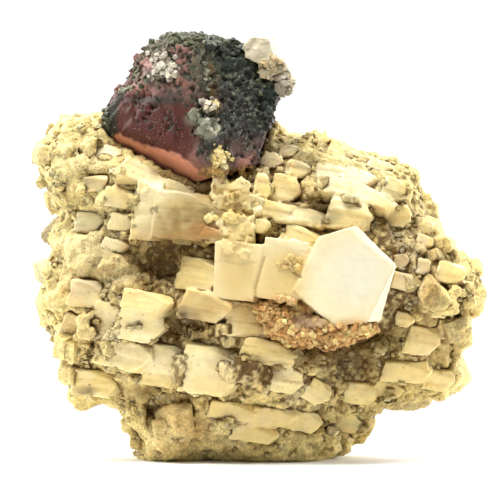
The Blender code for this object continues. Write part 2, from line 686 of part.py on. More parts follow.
def plate_form(grow=0.0):
    """The six-sided plate with its bevelled rim."""
    faces = [((right, 0, up), (far + grow) * MM) for (right, up), far in PLATE_SIDES]
    half = PLATE_DEPTH / 2
    faces += [((0, -1, 0), (half + grow) * MM), ((0, 1, 0), (half + grow) * MM)]
    faces += [((right, -near, up), (far + grow) * MM) for (right, near, up), far in PLATE_BEVELS]
    form = cut_crystal(faces, 16 * MM)
    tilt = Matrix.Rotation(math.radians(PLATE_LEAN), 4, "Z") @ Matrix.Rotation(math.radians(-PLATE_TIP), 4, "X")
    place = Matrix.Translation(Vector((PLATE_X, PLATE_Y + half, PLATE_Z)) * MM) @ tilt
    bmesh.ops.transform(form, matrix=place, verts=form.verts)
    return form


def neighbour_form(index, grow=0.0):
    """One of the crystals grown into the plate."""
    x, y, z, length, height, depth, turn, lean, tip = PLATE_NEIGHBOURS[index]
    faces = [
        ((-1, 0.1, 0.06 * index), length / 2 + grow),
        ((1, 0.08, -0.10), length / 2 + grow),
        ((0, -1, 0), depth / 2 + grow),
        ((0, 1, 0), depth / 2 + grow),
        ((0.04, 0, 1), height / 2 + grow),
        ((-0.05, 0, -1), height / 2 + grow),
        ((-0.62, -0.58, 0.5), 0.40 * (length + height) + grow),
        ((0.30, -0.62, -0.70), 0.46 * (height + depth / 2) + grow),
    ]
    form = cut_crystal([(way, far * MM) for way, far in faces], 12 * MM)
    around = (
        Matrix.Rotation(math.radians(-turn), 4, "Y")
        @ Matrix.Rotation(math.radians(lean), 4, "Z")
        @ Matrix.Rotation(math.radians(-tip), 4, "X")
    )
    place = Matrix.Translation(Vector((x, y + depth / 2, z)) * MM) @ around
    bmesh.ops.transform(form, matrix=place, verts=form.verts)
    return form


def crust_form(index, grow=0.0):
    """One jagged lump of the rusty crust."""
    x, y, z, across, through, up = CRUST_LUMPS[index]
    form = bmesh.new()
    bmesh.ops.create_icosphere(form, subdivisions=2, radius=1.0)
    for vert in form.verts:
        bump = 1.0 + 0.22 * noise.noise(vert.co * 2.2 + Vector((x, z, SEED)))
        size = Vector((across + grow, through + grow, up + grow))
        vert.co = Vector(a * b for a, b in zip(vert.co, size)) * bump
        vert.co = (vert.co + Vector((x, y, z))) * MM
    return form


def ground_form():
    """Everything below the foot's plane."""
    below = bmesh.new()
    bmesh.ops.create_cube(below, size=1.0)
    bmesh.ops.scale(below, vec=(0.2, 0.2, 0.04), verts=below.verts)
    bmesh.ops.translate(below, vec=(0, 0, -0.02), verts=below.verts)
    return below


def plates_clearance():
    """The space that the plates take up, with the gap around it."""
    return [plate_form(GAP)] + [neighbour_form(index, GAP) for index in range(len(PLATE_NEIGHBOURS))]


def build_fluorite():
    """The octahedron with its growth layers and the small crystals on its front."""
    pink = add_object("pink_fluorite", fluorite_form(), stone("pink fluorite", (0.42, 0.20, 0.17), 0.4))
    forms = [fluorite_form(0.0, plane, rise, cuts) for plane, rise, cuts in GROWTH_STEPS]
    forms += [growth_form(growth) for growth in FLUORITE_GROWTHS]
    return grow_together(pink, forms)


def build_perched():
    """The pale quartz that sits on the fluorite's upper right edge."""
    colour = stone("pale quartz", (0.80, 0.70, 0.55), 0.25, 0.3)
    quartz = add_object("perched_quartz", perched_form(0), colour)
    forms = [perched_form(index) for index in range(1, len(PERCHED))]
    return grow_together(quartz, forms, fluorite_clearance())


def build_plates():
    """The white plate with the crystals grown into it."""
    colour = stone("white feldspar", (0.85, 0.80, 0.70), 0.4)
    plates = add_object("white_feldspar_plates", plate_form(), colour)
    forms = [neighbour_form(index) for index in range(len(PLATE_NEIGHBOURS))]
    return grow_together(plates, forms, fluorite_clearance())


def build_crust():
    """The rusty crust, cut where the plates press into it."""
    colour = stone("iron-stained crust", (0.45, 0.25, 0.10), 0.8)
    crust = add_object("rusty_crust", crust_form(0), colour)
    forms = [crust_form(index) for index in range(1, len(CRUST_LUMPS))]
    return grow_together(crust, forms, plates_clearance())


def build_matrix():
    """The rock with every crystal and lump that grew on it, cut to clear the other pieces."""
    colour = stone("cream feldspar", (0.72, 0.62, 0.42), 0.55)
    rock = add_object("feldspar_matrix", rock_form(), colour)
    draw = random.Random(SEED)
    forms = [block_form(block) for block in BLOCKS]
    forms += [lump_form(lump) for lump in LUMPS]
    forms += [grain_form(draw, front_depth, False) for _ in range(FRONT_GRAINS)]
    forms += [grain_form(draw, back_depth, True) for _ in range(BACK_GRAINS)]
    cutters = fluorite_clearance() + plates_clearance()
    cutters += [crust_form(index, GAP) for index in range(len(CRUST_LUMPS))]
    cutters += [ground_form()]
    return grow_together(rock, forms, cutters)


def main():
    """Builds the five pieces, each clear of its neighbours."""
    clear_scene()
    build_fluorite()
    build_perched()
    build_plates()
    build_crust()
    build_matrix()
    for piece in bpy.data.objects:
        piece.data.transform(Matrix.Translation((0.0, STAND_BACK * MM, 0.0)))


if __name__ == "__main__":
    main()
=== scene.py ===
import logging
import math
import random
from collections.abc import Callable
from dataclasses import dataclass, field
from enum import Enum

import bmesh
import bpy
import numpy as np
from mathutils import Matrix, Vector, noise
from mathutils.bvhtree import BVHTree


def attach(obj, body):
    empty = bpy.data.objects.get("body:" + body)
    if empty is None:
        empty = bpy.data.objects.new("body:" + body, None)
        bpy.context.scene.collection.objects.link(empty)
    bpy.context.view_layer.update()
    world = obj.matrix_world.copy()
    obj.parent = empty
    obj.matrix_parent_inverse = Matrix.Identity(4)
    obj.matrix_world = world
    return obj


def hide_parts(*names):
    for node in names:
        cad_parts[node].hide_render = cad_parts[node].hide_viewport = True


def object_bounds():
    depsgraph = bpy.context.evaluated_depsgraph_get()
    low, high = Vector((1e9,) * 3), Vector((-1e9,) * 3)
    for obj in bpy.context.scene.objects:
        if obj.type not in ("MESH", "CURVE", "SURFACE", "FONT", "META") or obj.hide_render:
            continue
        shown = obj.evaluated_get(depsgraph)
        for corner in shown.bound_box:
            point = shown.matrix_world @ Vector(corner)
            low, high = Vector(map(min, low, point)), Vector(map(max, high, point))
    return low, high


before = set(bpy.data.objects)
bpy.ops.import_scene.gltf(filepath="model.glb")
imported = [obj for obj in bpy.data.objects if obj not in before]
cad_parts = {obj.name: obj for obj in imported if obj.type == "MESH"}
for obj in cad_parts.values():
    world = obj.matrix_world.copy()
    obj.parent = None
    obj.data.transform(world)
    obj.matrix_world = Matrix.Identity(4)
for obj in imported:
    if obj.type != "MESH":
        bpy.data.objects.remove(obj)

Piece = bpy.types.Object
Socket = bpy.types.NodeSocket
Value = Socket | float | tuple
LOG = logging.getLogger("fluorite")

# Lengths below are millimetres unless a name says otherwise; Y counts from the plane of the rock's outline
MM = 0.001
STAND_BACK = 3.6
SEED = 11
STAND = np.array((0.0, STAND_BACK, 0.0))
CAD_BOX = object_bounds()


class Tone(Enum):
    """Colours of the specimen's minerals and stains, as linear red, green and blue."""

    CREAM = (0.73, 0.56, 0.245)
    PALE = (0.83, 0.73, 0.45)
    WHITE = (0.745, 0.70, 0.525)
    GOLD = (0.62, 0.44, 0.16)
    YELLOW = (0.74, 0.56, 0.20)
    TAN = (0.42, 0.255, 0.070)
    RUST = (0.45, 0.20, 0.055)
    UMBER = (0.095, 0.046, 0.011)
    OLIVE = (0.15, 0.108, 0.026)
    LILAC = (0.56, 0.445, 0.31)
    GREY = (0.42, 0.34, 0.19)
    CLAY = (0.40, 0.26, 0.155)
    MOSS = (0.075, 0.085, 0.045)
    PLUM = (0.100, 0.026, 0.019)
    WINE = (0.066, 0.014, 0.011)
    SALMON = (0.34, 0.155, 0.115)
    ROSE = (0.29, 0.140, 0.112)
    CHARCOAL = (0.034, 0.035, 0.032)
    PURPLE = (0.100, 0.056, 0.045)
    GREEN_BLACK = (0.028, 0.036, 0.026)
    SAGE = (0.27, 0.28, 0.19)
    BONE = (0.62, 0.56, 0.44)
    AMBER = (0.64, 0.38, 0.14)
    BLUSH = (0.86, 0.68, 0.54)
    LEAF = (0.11, 0.12, 0.065)
    BRONZE = (0.32, 0.190, 0.045)
    CORAL = (0.78, 0.35, 0.24)
    MAUVE = (0.17, 0.058, 0.046)
    STRAW = (0.85, 0.68, 0.27)


@dataclass(frozen=True)
class Spot:
    """A patch of colour on the show side: where it lies, how far it reaches and how strong it is."""

    x: float
    z: float
    across: float
    up: float
    tone: Tone
    strength: float


def line_distance(points: np.ndarray, line: tuple) -> np.ndarray:
    """How far places of the front view lie from a line of straight stretches.

    Args:
        points: Places in millimetres.
        line: The X and Z of each corner of the line.

    Returns:
        One distance for each place, in millimetres.
    """
    x, z = points[:, 0], points[:, 2]
    nearest = np.full(len(points), 1e9)
    for (ax, az), (bx, bz) in zip(line, line[1:]):
        length = (bx - ax) ** 2 + (bz - az) ** 2
        along = np.clip(((x - ax) * (bx - ax) + (z - az) * (bz - az)) / length, 0.0, 1.0)
        away = np.hypot(x - ax - along * (bx - ax), z - az - along * (bz - az))
        nearest = np.minimum(nearest, away)
    return nearest


def within(corners: tuple, x: np.ndarray, z: np.ndarray) -> np.ndarray:
    """Tells which places of the front view lie inside a drawn edge.

    Args:
        corners: The edge's corners in order.
        x: The places' X, or one X.
        z: The places' Z, or one Z.

    Returns:
        True for each place inside.
    """
    inside = np.zeros(np.shape(x), dtype=bool)
    for (ax, az), (bx, bz) in zip(corners, corners[1:] + corners[:1]):
        inside ^= ((az > z) != (bz > z)) & (x < (bx - ax) * (z - az) / (bz - az + 1e-12) + ax)
    return inside


@dataclass(frozen=True)
class Patch:
    """A patch of colour with a drawn edge: its corners, how soft the edge is and how strong it is."""

    corners: tuple
    tone: Tone
    strength: float
    soft: float

    def share(self, points: np.ndarray) -> np.ndarray:
        """How much of the patch each place takes, 0 to 1.

        Args:
            points: Places in millimetres.

        Returns:
            One share for each place.
        """
        nearest = line_distance(points, self.corners + self.corners[:1])
        signed = np.where(within(self.corners, points[:, 0], points[:, 2]), nearest, -nearest)
        return np.clip(0.5 + signed / (2.0 * self.soft), 0.0, 1.0)


@dataclass(frozen=True)
class Hollow:
    """A pit in the rock's front: its middle, reach across and up, and depth."""

    x: float
    z: float
    across: float
    up: float
    depth: float


@dataclass(frozen=True)
class Block:
    """A feldspar crystal: the middle of its front face, its size in mm and its turns in degrees."""

    x: float
    z: float
    length: float
    height: float
    depth: float
    proud: float
    turn: float
    lean: float = 0.0
    tip: float = 0.0
    slant: tuple = (12.0, -14.0)


class GrainShape(Enum):
    """Kinds of small crystal in the crust."""

    BLOCK = "block"
    CUBE = "cube"
    BLADE = "blade"
    CRUMB = "crumb"


@dataclass(frozen=True)
class GrainField:
    """A stretch of the show side with its own size, shape and crowd of small crystals."""

    x: float
    z: float
    across: float
    up: float
    smallest: float
    largest: float
    shapes: tuple
    aligned: float


OPEN_FIELD = GrainField(0.0, 35.0, 90.0, 90.0, 0.4, 1.1, (GrainShape.BLOCK, GrainShape.CUBE), 0.75)
FIELDS = tuple(GrainField(*row) for row in (
    (-38.0, 61.0, 7.0, 7.5, 0.5, 1.3, (GrainShape.CRUMB, GrainShape.CRUMB, GrainShape.CUBE), 0.2),
    (-38.0, 40.0, 8.0, 9.0, 0.6, 1.6, (GrainShape.CRUMB, GrainShape.BLOCK), 0.5),
    (-19.0, 40.0, 9.0, 5.0, 0.4, 0.85, (GrainShape.CUBE,), 0.1),
    (-15.0, 28.5, 4.5, 3.5, 0.35, 0.7, (GrainShape.CUBE, GrainShape.CRUMB), 0.1),
    (31.0, 40.0, 8.5, 9.0, 0.35, 0.85, (GrainShape.BLOCK, GrainShape.CUBE), 0.5),
    (20.0, 21.0, 10.0, 5.5, 0.3, 0.75, (GrainShape.CUBE, GrainShape.CRUMB), 0.2),
    (12.0, 57.0, 12.0, 6.0, 0.5, 1.2, (GrainShape.BLOCK, GrainShape.BLADE), 0.9),
    (-20.0, 8.0, 10.0, 8.0, 0.4, 1.1, (GrainShape.CRUMB, GrainShape.CUBE), 0.2),
    (14.0, 5.0, 12.0, 6.0, 0.4, 1.1, (GrainShape.CRUMB, GrainShape.BLOCK), 0.3),
    (38.0, 22.0, 6.0, 10.0, 0.5, 1.3, (GrainShape.CRUMB, GrainShape.BLOCK), 0.4),
))


@dataclass(frozen=True)
class Cluster:
    """A group of small crystals of one tone on the show side."""

    x: float
    z: float
    across: float
    up: float
    count: int
    smallest: float
    largest: float
    tone: Tone
    shape: GrainShape = GrainShape.CUBE
    turn: float = -10.0
    scatter: float = 40.0


@dataclass(frozen=True)
class Crack:
    """A crack of the show side as the points that it runs through, its width and depth."""

    points: tuple
    width: float
    depth: float

    def near(self, places: np.ndarray) -> np.ndarray:
        """How near each place lies to the crack: 1 on it to 0 beyond its width."""
        return np.clip(1.0 - line_distance(places, self.points) / self.width, 0.0, 1.0)


@dataclass(frozen=True)
class Scheme:
    """A mineral's colours: its ground, what clouds it, its back, its recesses (stain and painted shade) and
    its patches.
    """

    ground: Tone
    warm: Tone
    cool: Tone
    fleck: Tone
    back: Tone
    recess: Tone
    deep: Tone
    edge: Tone
    spots: tuple = ()
    patches: tuple = ()
    front_ends: float = 6.0
    mottle: float = 1.0


# The rock's outline seen from the front, clockwise from the upper left shoulder
OUTLINE = (
    (-42.5, 66.0), (-44.3, 63.0), (-44.5, 59.6), (-43.0, 56.6), (-42.2, 54.6), (-41.0, 51.6),
    (-39.8, 48.0), (-41.2, 46.6), (-41.8, 44.0), (-41.4, 42.2), (-42.6, 37.6), (-43.6, 33.6),
    (-43.6, 29.6), (-42.4, 26.4), (-41.0, 23.6), (-39.4, 20.2), (-38.0, 18.6), (-36.4, 17.4),
    (-37.6, 16.4), (-37.2, 13.6), (-35.6, 11.6), (-29.8, 11.8), (-27.4, 10.2), (-26.4, 8.2),
    (-27.4, 6.6), (-25.6, 4.6), (-25.0, 1.4), (-21.8, -7.4), (-12.0, -8.0), (-3.0, -8.0),
    (5.0, -8.0), (12.2, -7.4), (15.6, 0.0), (18.0, 2.8), (21.0, 5.2), (23.0, 8.8), (26.2, 10.8),
    (31.0, 11.2), (33.4, 12.2), (39.0, 13.4), (40.4, 14.6), (40.8, 17.6), (40.0, 22.2),
    (41.6, 24.6), (42.2, 27.4), (43.6, 30.4), (44.3, 32.8), (44.0, 35.8), (44.0, 38.4),
    (41.0, 40.4), (38.4, 44.0), (36.0, 46.6), (34.4, 47.8), (33.6, 51.6), (32.0, 54.0),
    (31.0, 57.0), (28.6, 59.2), (23.4, 60.8), (18.2, 62.0), (14.6, 62.8), (9.8, 64.4),
    (4.6, 65.2), (1.6, 68.0), (-4.8, 68.2), (-11.8, 67.0), (-19.8, 68.0), (-26.8, 68.8),
    (-32.0, 69.2), (-36.0, 69.2), (-40.0, 68.4),
)

# Pits of the front
HOLLOWS = tuple(Hollow(*row) for row in (
    (-13.2, 54.8, 4.6, 3.0, 4.5), (-20.0, 57.6, 2.6, 1.8, 2.5), (-27.6, 62.8, 4.8, 2.8, 6.0),
    (-19.6, 60.2, 5.0, 2.6, 5.0), (24.0, 47.8, 2.8, 2.0, 3.5), (13.0, 49.8, 3.2, 2.4, 2.5),
    (14.5, 23.6, 7.0, 2.6, 4.5), (19.5, 19.8, 6.0, 4.0, 3.5), (24.5, 25.0, 6.5, 4.0, 3.0),
    (-18.0, 39.5, 7.5, 4.8, 3.5), (-15.0, 28.2, 4.4, 2.8, 5.0), (-21.0, 11.6, 3.0, 4.4, 5.5),
    (38.0, 20.6, 3.2, 3.0, 3.0), (-37.2, 65.2, 1.6, 1.6, 2.0), (-28.6, 65.0, 2.4, 1.2, 2.5),
    (-36.6, 60.6, 3.4, 1.4, 2.5), (-37.4, 52.4, 2.0, 1.6, 2.5), (-32.4, 37.4, 2.6, 2.0, 2.5),
    (27.5, 31.0, 3.4, 2.2, 2.0), (6.8, 64.0, 2.6, 1.4, 2.0),
))

# The crystals that can be told apart on the front, from the top down
BLOCKS = tuple(Block(*row) for row in (
    # around and under the fluorite's lower edge
    (-23.2, 58.2, 7.6, 4.4, 8, 2.2, -24, -4, 8), (-30.0, 62.0, 5.6, 3.6, 7, 1.2, -8, -6, 6),
    (-32.6, 55.8, 4.6, 3.0, 6, 1.2, 4), (-27.6, 53.0, 6.4, 3.8, 7, 1.4, -8),
    (1.0, 55.4, 3.2, 5.6, 6, 1.4, -6), (5.4, 54.8, 5.4, 5.6, 7, 1.6, -12),
    (3.0, 60.6, 4.2, 3.2, 6, 1.4, -14), (8.0, 58.8, 4.4, 3.4, 6, 1.2, -10),
    (6.2, 62.4, 3.4, 2.4, 5, 1.4, 6),
    # the big cream block and its neighbours
    (-22.0, 50.6, 5.2, 11.6, 9, 2.6, -4, -10, 0, (4, -4)),
    (-13.6, 49.6, 13.6, 9.2, 10, 3.4, -5, 3, 4, (2, -10)), (-17.4, 55.0, 9.6, 4.0, 8, 2.6, -12, 0, 10),
    (-8.4, 45.6, 5.6, 2.6, 7, 3.0, -14), (-27.2, 48.2, 5.0, 3.4, 6, 1.6, -6),
    (-28.6, 43.6, 5.2, 2.6, 6, 1.4, -10), (-34.0, 48.0, 5.4, 4.4, 6, 1.2, 4),
    # the tapered prisms and the barrel crystals right of the middle
    (2.6, 51.0, 8.6, 3.2, 7, 2.4, -9, 0, 8, (8, -34)),
    (9.4, 49.4, 11.2, 3.8, 8, 2.8, -10, 2, 6, (10, -40)), (0.8, 47.6, 3.2, 2.6, 6, 2.4, -6),
    (8.6, 45.2, 7.0, 4.6, 8, 2.2, -20, 0, 6), (20.4, 54.2, 14.6, 4.2, 8, 2.4, -15, 4, 10, (16, -24)),
    (18.0, 49.6, 8.0, 6.0, 8, 2.6, -10, 4, 4, (8, -20)), (20.4, 57.2, 6.0, 4.0, 7, 1.8, -12, 0, 12),
    (14.6, 57.8, 6.0, 4.6, 7, 1.8, -8, 0, 10), (27.6, 54.8, 4.8, 4.2, 6, 1.4, -18),
    (12.4, 64.4, 3.2, 3.6, 4, 1.8, 8), (28.4, 49.6, 5.0, 4.8, 7, 1.6, -8),
    (24.6, 59.4, 4.6, 2.8, 5, 1.0, -20),
    # the fine crystals of the right side
    (33.2, 39.4, 2.8, 3.2, 5, 1.4, -4), (29.0, 36.4, 4.2, 3.2, 6, 1.4, -12),
    (28.6, 40.6, 3.0, 2.4, 5, 1.2, 6), (33.6, 44.2, 3.6, 2.6, 5, 1.2, -16),
    (38.6, 38.0, 5.4, 4.2, 6, 1.4, -10), (40.6, 34.0, 5.0, 4.6, 6, 1.2, -12),
    (36.8, 30.6, 4.2, 3.6, 6, 1.2, -8), (38.2, 26.4, 4.6, 4.0, 6, 1.4, -4),
    (33.0, 24.2, 6.0, 5.6, 7, 1.6, -8), (29.2, 28.6, 3.6, 2.8, 5, 1.0, -14),
    (29.8, 17.8, 9.0, 4.0, 7, 1.4, -4), (36.4, 16.0, 5.6, 3.8, 6, 1.0, -6),
    # the middle and the shaded band under the plates
    (-11.6, 38.0, 8.6, 6.6, 8, 2.4, -6, 2, 4, (6, -10)), (-10.4, 31.6, 9.2, 5.8, 8, 2.2, -10, 0, 0),
    (-22.0, 32.8, 9.6, 3.8, 7, 2.2, -8, 0, 6, (4, -30)), (-0.8, 28.8, 9.6, 6.8, 8, 1.6, -8),
    (2.8, 22.4, 11.4, 4.8, 8, 1.8, -9), (11.6, 21.0, 7.2, 2.8, 6, 1.6, -6),
    (5.8, 17.0, 6.8, 5.6, 7, 1.8, -10), (11.8, 14.0, 5.0, 4.6, 6, 2.2, -30),
    (-3.8, 18.0, 4.0, 3.6, 6, 1.4, -12),
    # the big crystals of the lower left
    (-30.0, 28.0, 6.4, 8.4, 8, 1.8, -10, -6), (-23.4, 28.0, 8.6, 7.6, 9, 2.8, -10, -2, 2),
    (-26.6, 22.2, 10.0, 7.0, 9, 2.6, -14), (-17.6, 19.2, 9.0, 8.6, 9, 2.8, -8, -4, 0),
    (-9.4, 18.6, 11.0, 9.6, 10, 3.6, -9, 4, 2, (4, -18)), (-34.6, 33.8, 6.2, 5.2, 7, 1.4, -6),
    (-36.6, 26.6, 6.0, 5.8, 7, 1.4, -18), (-32.8, 15.6, 9.0, 5.0, 7, 1.6, -4),
    (-35.0, 20.6, 5.6, 3.8, 6, 1.4, -12),
    # the foot
    (-5.0, 10.4, 9.0, 3.4, 7, 1.6, -8), (3.4, 9.2, 8.4, 3.6, 7, 1.4, -6),
    (-0.6, 5.8, 8.8, 3.2, 7, 1.4, -8), (9.6, 8.0, 6.0, 4.0, 6, 1.4, -10),
    (20.8, 13.4, 7.4, 4.4, 6, 1.2, -6), (26.4, 14.0, 5.6, 3.6, 6, 1.0, -10),
    (18.6, 7.4, 5.2, 4.2, 6, 1.2, -20),
))

# Colour patches of the show side, from the top down; dark spots that sit on pits of HOLLOWS are partly
# stain and partly painted shade
SPOTS = tuple(Spot(*row) for row in (
    # shoulder and left side
    (-38.5, 61.0, 6.5, 7.0, Tone.PALE, 0.75), (-35.5, 57.5, 4.0, 2.2, Tone.OLIVE, 0.5),
    (-31.0, 59.5, 2.6, 1.6, Tone.LILAC, 0.8), (-28.6, 64.6, 3.6, 1.6, Tone.UMBER, 0.7),
    (-37.0, 65.2, 1.8, 1.6, Tone.OLIVE, 0.6), (-37.5, 52.4, 2.6, 2.0, Tone.TAN, 0.6),
    (-35.0, 46.0, 9.0, 5.0, Tone.PALE, 0.65), (-35.0, 38.0, 7.0, 5.0, Tone.LILAC, 0.6),
    (-32.4, 37.0, 3.0, 2.0, Tone.OLIVE, 0.7), (-38.8, 34.0, 1.6, 1.6, Tone.RUST, 0.5),
    (-40.4, 39.0, 1.4, 1.2, Tone.UMBER, 0.6),
    # below the fluorite: the umber spots just under its edge are painted shadow, those in the pits partly
    # stain and partly painted shade
    (-23.4, 61.5, 5.0, 2.4, Tone.LILAC, 0.5), (-13.0, 55.2, 5.0, 2.6, Tone.UMBER, 0.9),
    (-19.6, 58.4, 2.6, 1.6, Tone.UMBER, 0.8), (-22.0, 50.5, 3.4, 7.0, Tone.PALE, 0.6),
    (-13.2, 47.8, 8.4, 5.0, Tone.TAN, 0.88), (-12.0, 51.4, 5.0, 2.4, Tone.GOLD, 0.6),
    (-12.6, 48.4, 8.0, 5.0, Tone.OLIVE, 0.6), (-16.8, 55.4, 6.0, 2.4, Tone.PALE, 0.5),
    (-10.6, 46.6, 4.0, 1.6, Tone.RUST, 0.6), (-15.2, 45.4, 6.0, 1.8, Tone.TAN, 0.6),
    (-19.0, 40.0, 9.0, 4.6, Tone.UMBER, 0.82), (-24.0, 43.6, 4.0, 2.2, Tone.TAN, 0.6),
    (-11.4, 38.4, 5.0, 3.6, Tone.YELLOW, 0.6), (-9.6, 32.0, 6.0, 3.6, Tone.TAN, 0.55),
    (-15.6, 28.8, 4.0, 3.0, Tone.UMBER, 0.95), (-22.0, 32.8, 5.4, 2.2, Tone.CREAM, 0.6),
    # upper right
    (1.4, 60.6, 4.4, 3.4, Tone.LILAC, 0.55), (7.6, 63.8, 3.0, 1.6, Tone.OLIVE, 0.8),
    (10.4, 60.6, 3.2, 2.0, Tone.MOSS, 0.85), (14.6, 58.0, 4.0, 3.0, Tone.SAGE, 0.35),
    (12.6, 64.8, 2.4, 2.4, Tone.YELLOW, 0.7), (9.6, 53.0, 4.4, 3.6, Tone.TAN, 0.55),
    (13.0, 49.8, 3.6, 2.4, Tone.OLIVE, 0.8), (24.2, 47.8, 3.0, 1.8, Tone.UMBER, 0.85),
    (21.0, 57.0, 9.0, 3.4, Tone.PALE, 0.7), (20.0, 53.6, 8.0, 2.4, Tone.PALE, 0.6),
    (28.4, 49.6, 3.4, 3.0, Tone.GOLD, 0.5), (30.0, 57.0, 3.4, 3.6, Tone.YELLOW, 0.6),
    (8.0, 49.4, 8.0, 2.6, Tone.PALE, 0.45),
    # right side
    (30.0, 40.0, 6.0, 6.5, Tone.LILAC, 0.55), (28.0, 42.0, 3.0, 2.4, Tone.UMBER, 0.45),
    (27.0, 31.2, 2.4, 1.6, Tone.UMBER, 0.75), (34.6, 34.4, 2.0, 3.0, Tone.TAN, 0.8),
    # the straw spot at the right rim is partly the stone's own straw and partly painted light, the glow of
    # the back light on the rim
    (41.0, 36.0, 4.6, 9.0, Tone.STRAW, 0.9), (33.0, 24.4, 4.6, 3.4, Tone.CREAM, 0.6),
    (37.6, 20.8, 3.0, 2.4, Tone.TAN, 0.8), (41.4, 26.0, 2.2, 6.0, Tone.YELLOW, 0.6),
    (29.6, 18.0, 6.0, 2.6, Tone.YELLOW, 0.5),
    # below the plates: the umber and olive spots are painted shadow under the overhanging plates and crust,
    # partly stain
    (13.6, 23.6, 7.0, 2.2, Tone.UMBER, 0.95), (9.0, 24.6, 9.0, 3.2, Tone.UMBER, 0.55),
    (23.6, 25.4, 6.0, 2.8, Tone.OLIVE, 0.85), (19.0, 19.6, 6.4, 3.8, Tone.UMBER, 0.8),
    (-0.6, 29.0, 5.4, 3.6, Tone.TAN, 0.55), (1.8, 19.0, 4.0, 2.6, Tone.UMBER, 0.6),
    (2.6, 22.6, 6.4, 2.0, Tone.YELLOW, 0.5),
    # lower left and foot
    (-27.0, 26.0, 8.0, 6.0, Tone.PALE, 0.5), (-14.0, 20.0, 9.0, 4.0, Tone.PALE, 0.5),
    (-8.0, 16.4, 6.0, 3.0, Tone.CREAM, 0.6), (-36.0, 25.0, 5.0, 8.0, Tone.CREAM, 0.5),
    (-34.8, 14.2, 2.4, 1.0, Tone.UMBER, 0.7), (-24.4, 13.4, 4.0, 2.0, Tone.UMBER, 0.7),
    (-20.6, 10.0, 2.2, 4.6, Tone.UMBER, 0.9), (-24.6, 9.6, 2.8, 2.4, Tone.YELLOW, 0.8),
    (-16.0, 8.0, 4.0, 4.4, Tone.AMBER, 0.6), (-17.0, 3.0, 5.4, 2.6, Tone.AMBER, 0.7),
    (-12.0, 6.6, 2.4, 2.0, Tone.RUST, 0.5), (-2.0, 9.4, 7.0, 2.4, Tone.GOLD, 0.5),
    # the straw spots at the right of the foot are partly the stone's own straw and partly painted light of
    # the back and side lamps
    (2.0, 5.8, 7.0, 2.4, Tone.YELLOW, 0.6), (12.6, 3.6, 5.0, 3.2, Tone.STRAW, 0.85),
    (11.4, 3.0, 1.0, 0.8, Tone.UMBER, 0.9), (20.4, 11.0, 7.0, 5.0, Tone.STRAW, 0.7),
    (33.0, 14.6, 6.0, 2.4, Tone.YELLOW, 0.6),
))

FLUORITE_PATCHES = tuple(Patch(*row) for row in (
    (((-33.0, 67.8), (-28.0, 74.2), (-25.6, 75.8), (-26.6, 73.0), (-28.0, 70.6), (-28.2, 65.6),
      (-29.4, 62.6), (-32.6, 63.6)), Tone.GREEN_BLACK, 0.90, 0.5),
    (((-22.6, 82.6), (-19.2, 85.4), (-11.8, 83.4), (-12.2, 76.6), (-11.4, 72.2), (-21.8, 73.2),
      (-25.8, 74.6), (-24.4, 79.4)), Tone.ROSE, 0.90, 0.5),
    (((-28.4, 71.8), (-26.6, 73.4), (-21.8, 73.0), (-11.6, 72.4), (-10.6, 67.0), (-12.2, 65.2),
      (-13.8, 62.2), (-14.4, 60.6), (-16.8, 62.0), (-23.8, 63.8), (-28.4, 65.6)), Tone.PLUM, 0.96, 0.3),
    # The coral band along the lower edge is the fluorite's own salmon pink, painted lighter as painted
    # light where the band faces down into shade.
    (((-30.6, 65.0), (-28.2, 65.6), (-23.8, 63.8), (-16.8, 62.0), (-14.2, 60.6), (-8.6, 55.4),
      (-13.8, 56.2), (-21.8, 59.0), (-30.6, 61.8)), Tone.CORAL, 0.95, 0.3),
    (((-14.4, 60.6), (-13.0, 63.6), (-12.0, 65.4), (-10.4, 62.6), (-8.6, 55.8)), Tone.ROSE, 0.85, 0.4),
    (((-10.6, 83.4), (-3.8, 84.6), (0.6, 81.0), (6.6, 78.2), (4.6, 72.6), (1.8, 66.6), (-0.2, 60.6),
      (-9.2, 55.4), (-10.6, 66.6), (-12.2, 76.6)), Tone.CHARCOAL, 0.95, 0.6),
    (((-7.4, 64.6), (0.6, 65.4), (0.2, 59.4), (-3.8, 55.8), (-9.2, 55.4),
      (-8.4, 60.6)), Tone.PURPLE, 0.90, 0.9),
    (((-10.6, 85.4), (-1.0, 83.8), (0.2, 78.6), (-6.6, 77.4),
      (-10.4, 80.2)), Tone.GREEN_BLACK, 0.90, 0.6),
    (((-20.6, 85.4), (-17.2, 87.2), (-3.0, 85.0), (-10.2, 83.8), (-11.8, 82.8), (-15.2, 83.8),
      (-18.6, 83.2)), Tone.LEAF, 0.80, 0.4),
    (((-4.6, 60.6), (-1.0, 62.2), (-1.8, 57.8), (-3.8, 55.8)), Tone.SALMON, 0.85, 0.5),
    (((-25.6, 75.0), (-24.2, 76.6), (-21.0, 75.4), (-21.6, 73.4)), Tone.SALMON, 0.75, 0.4),
))
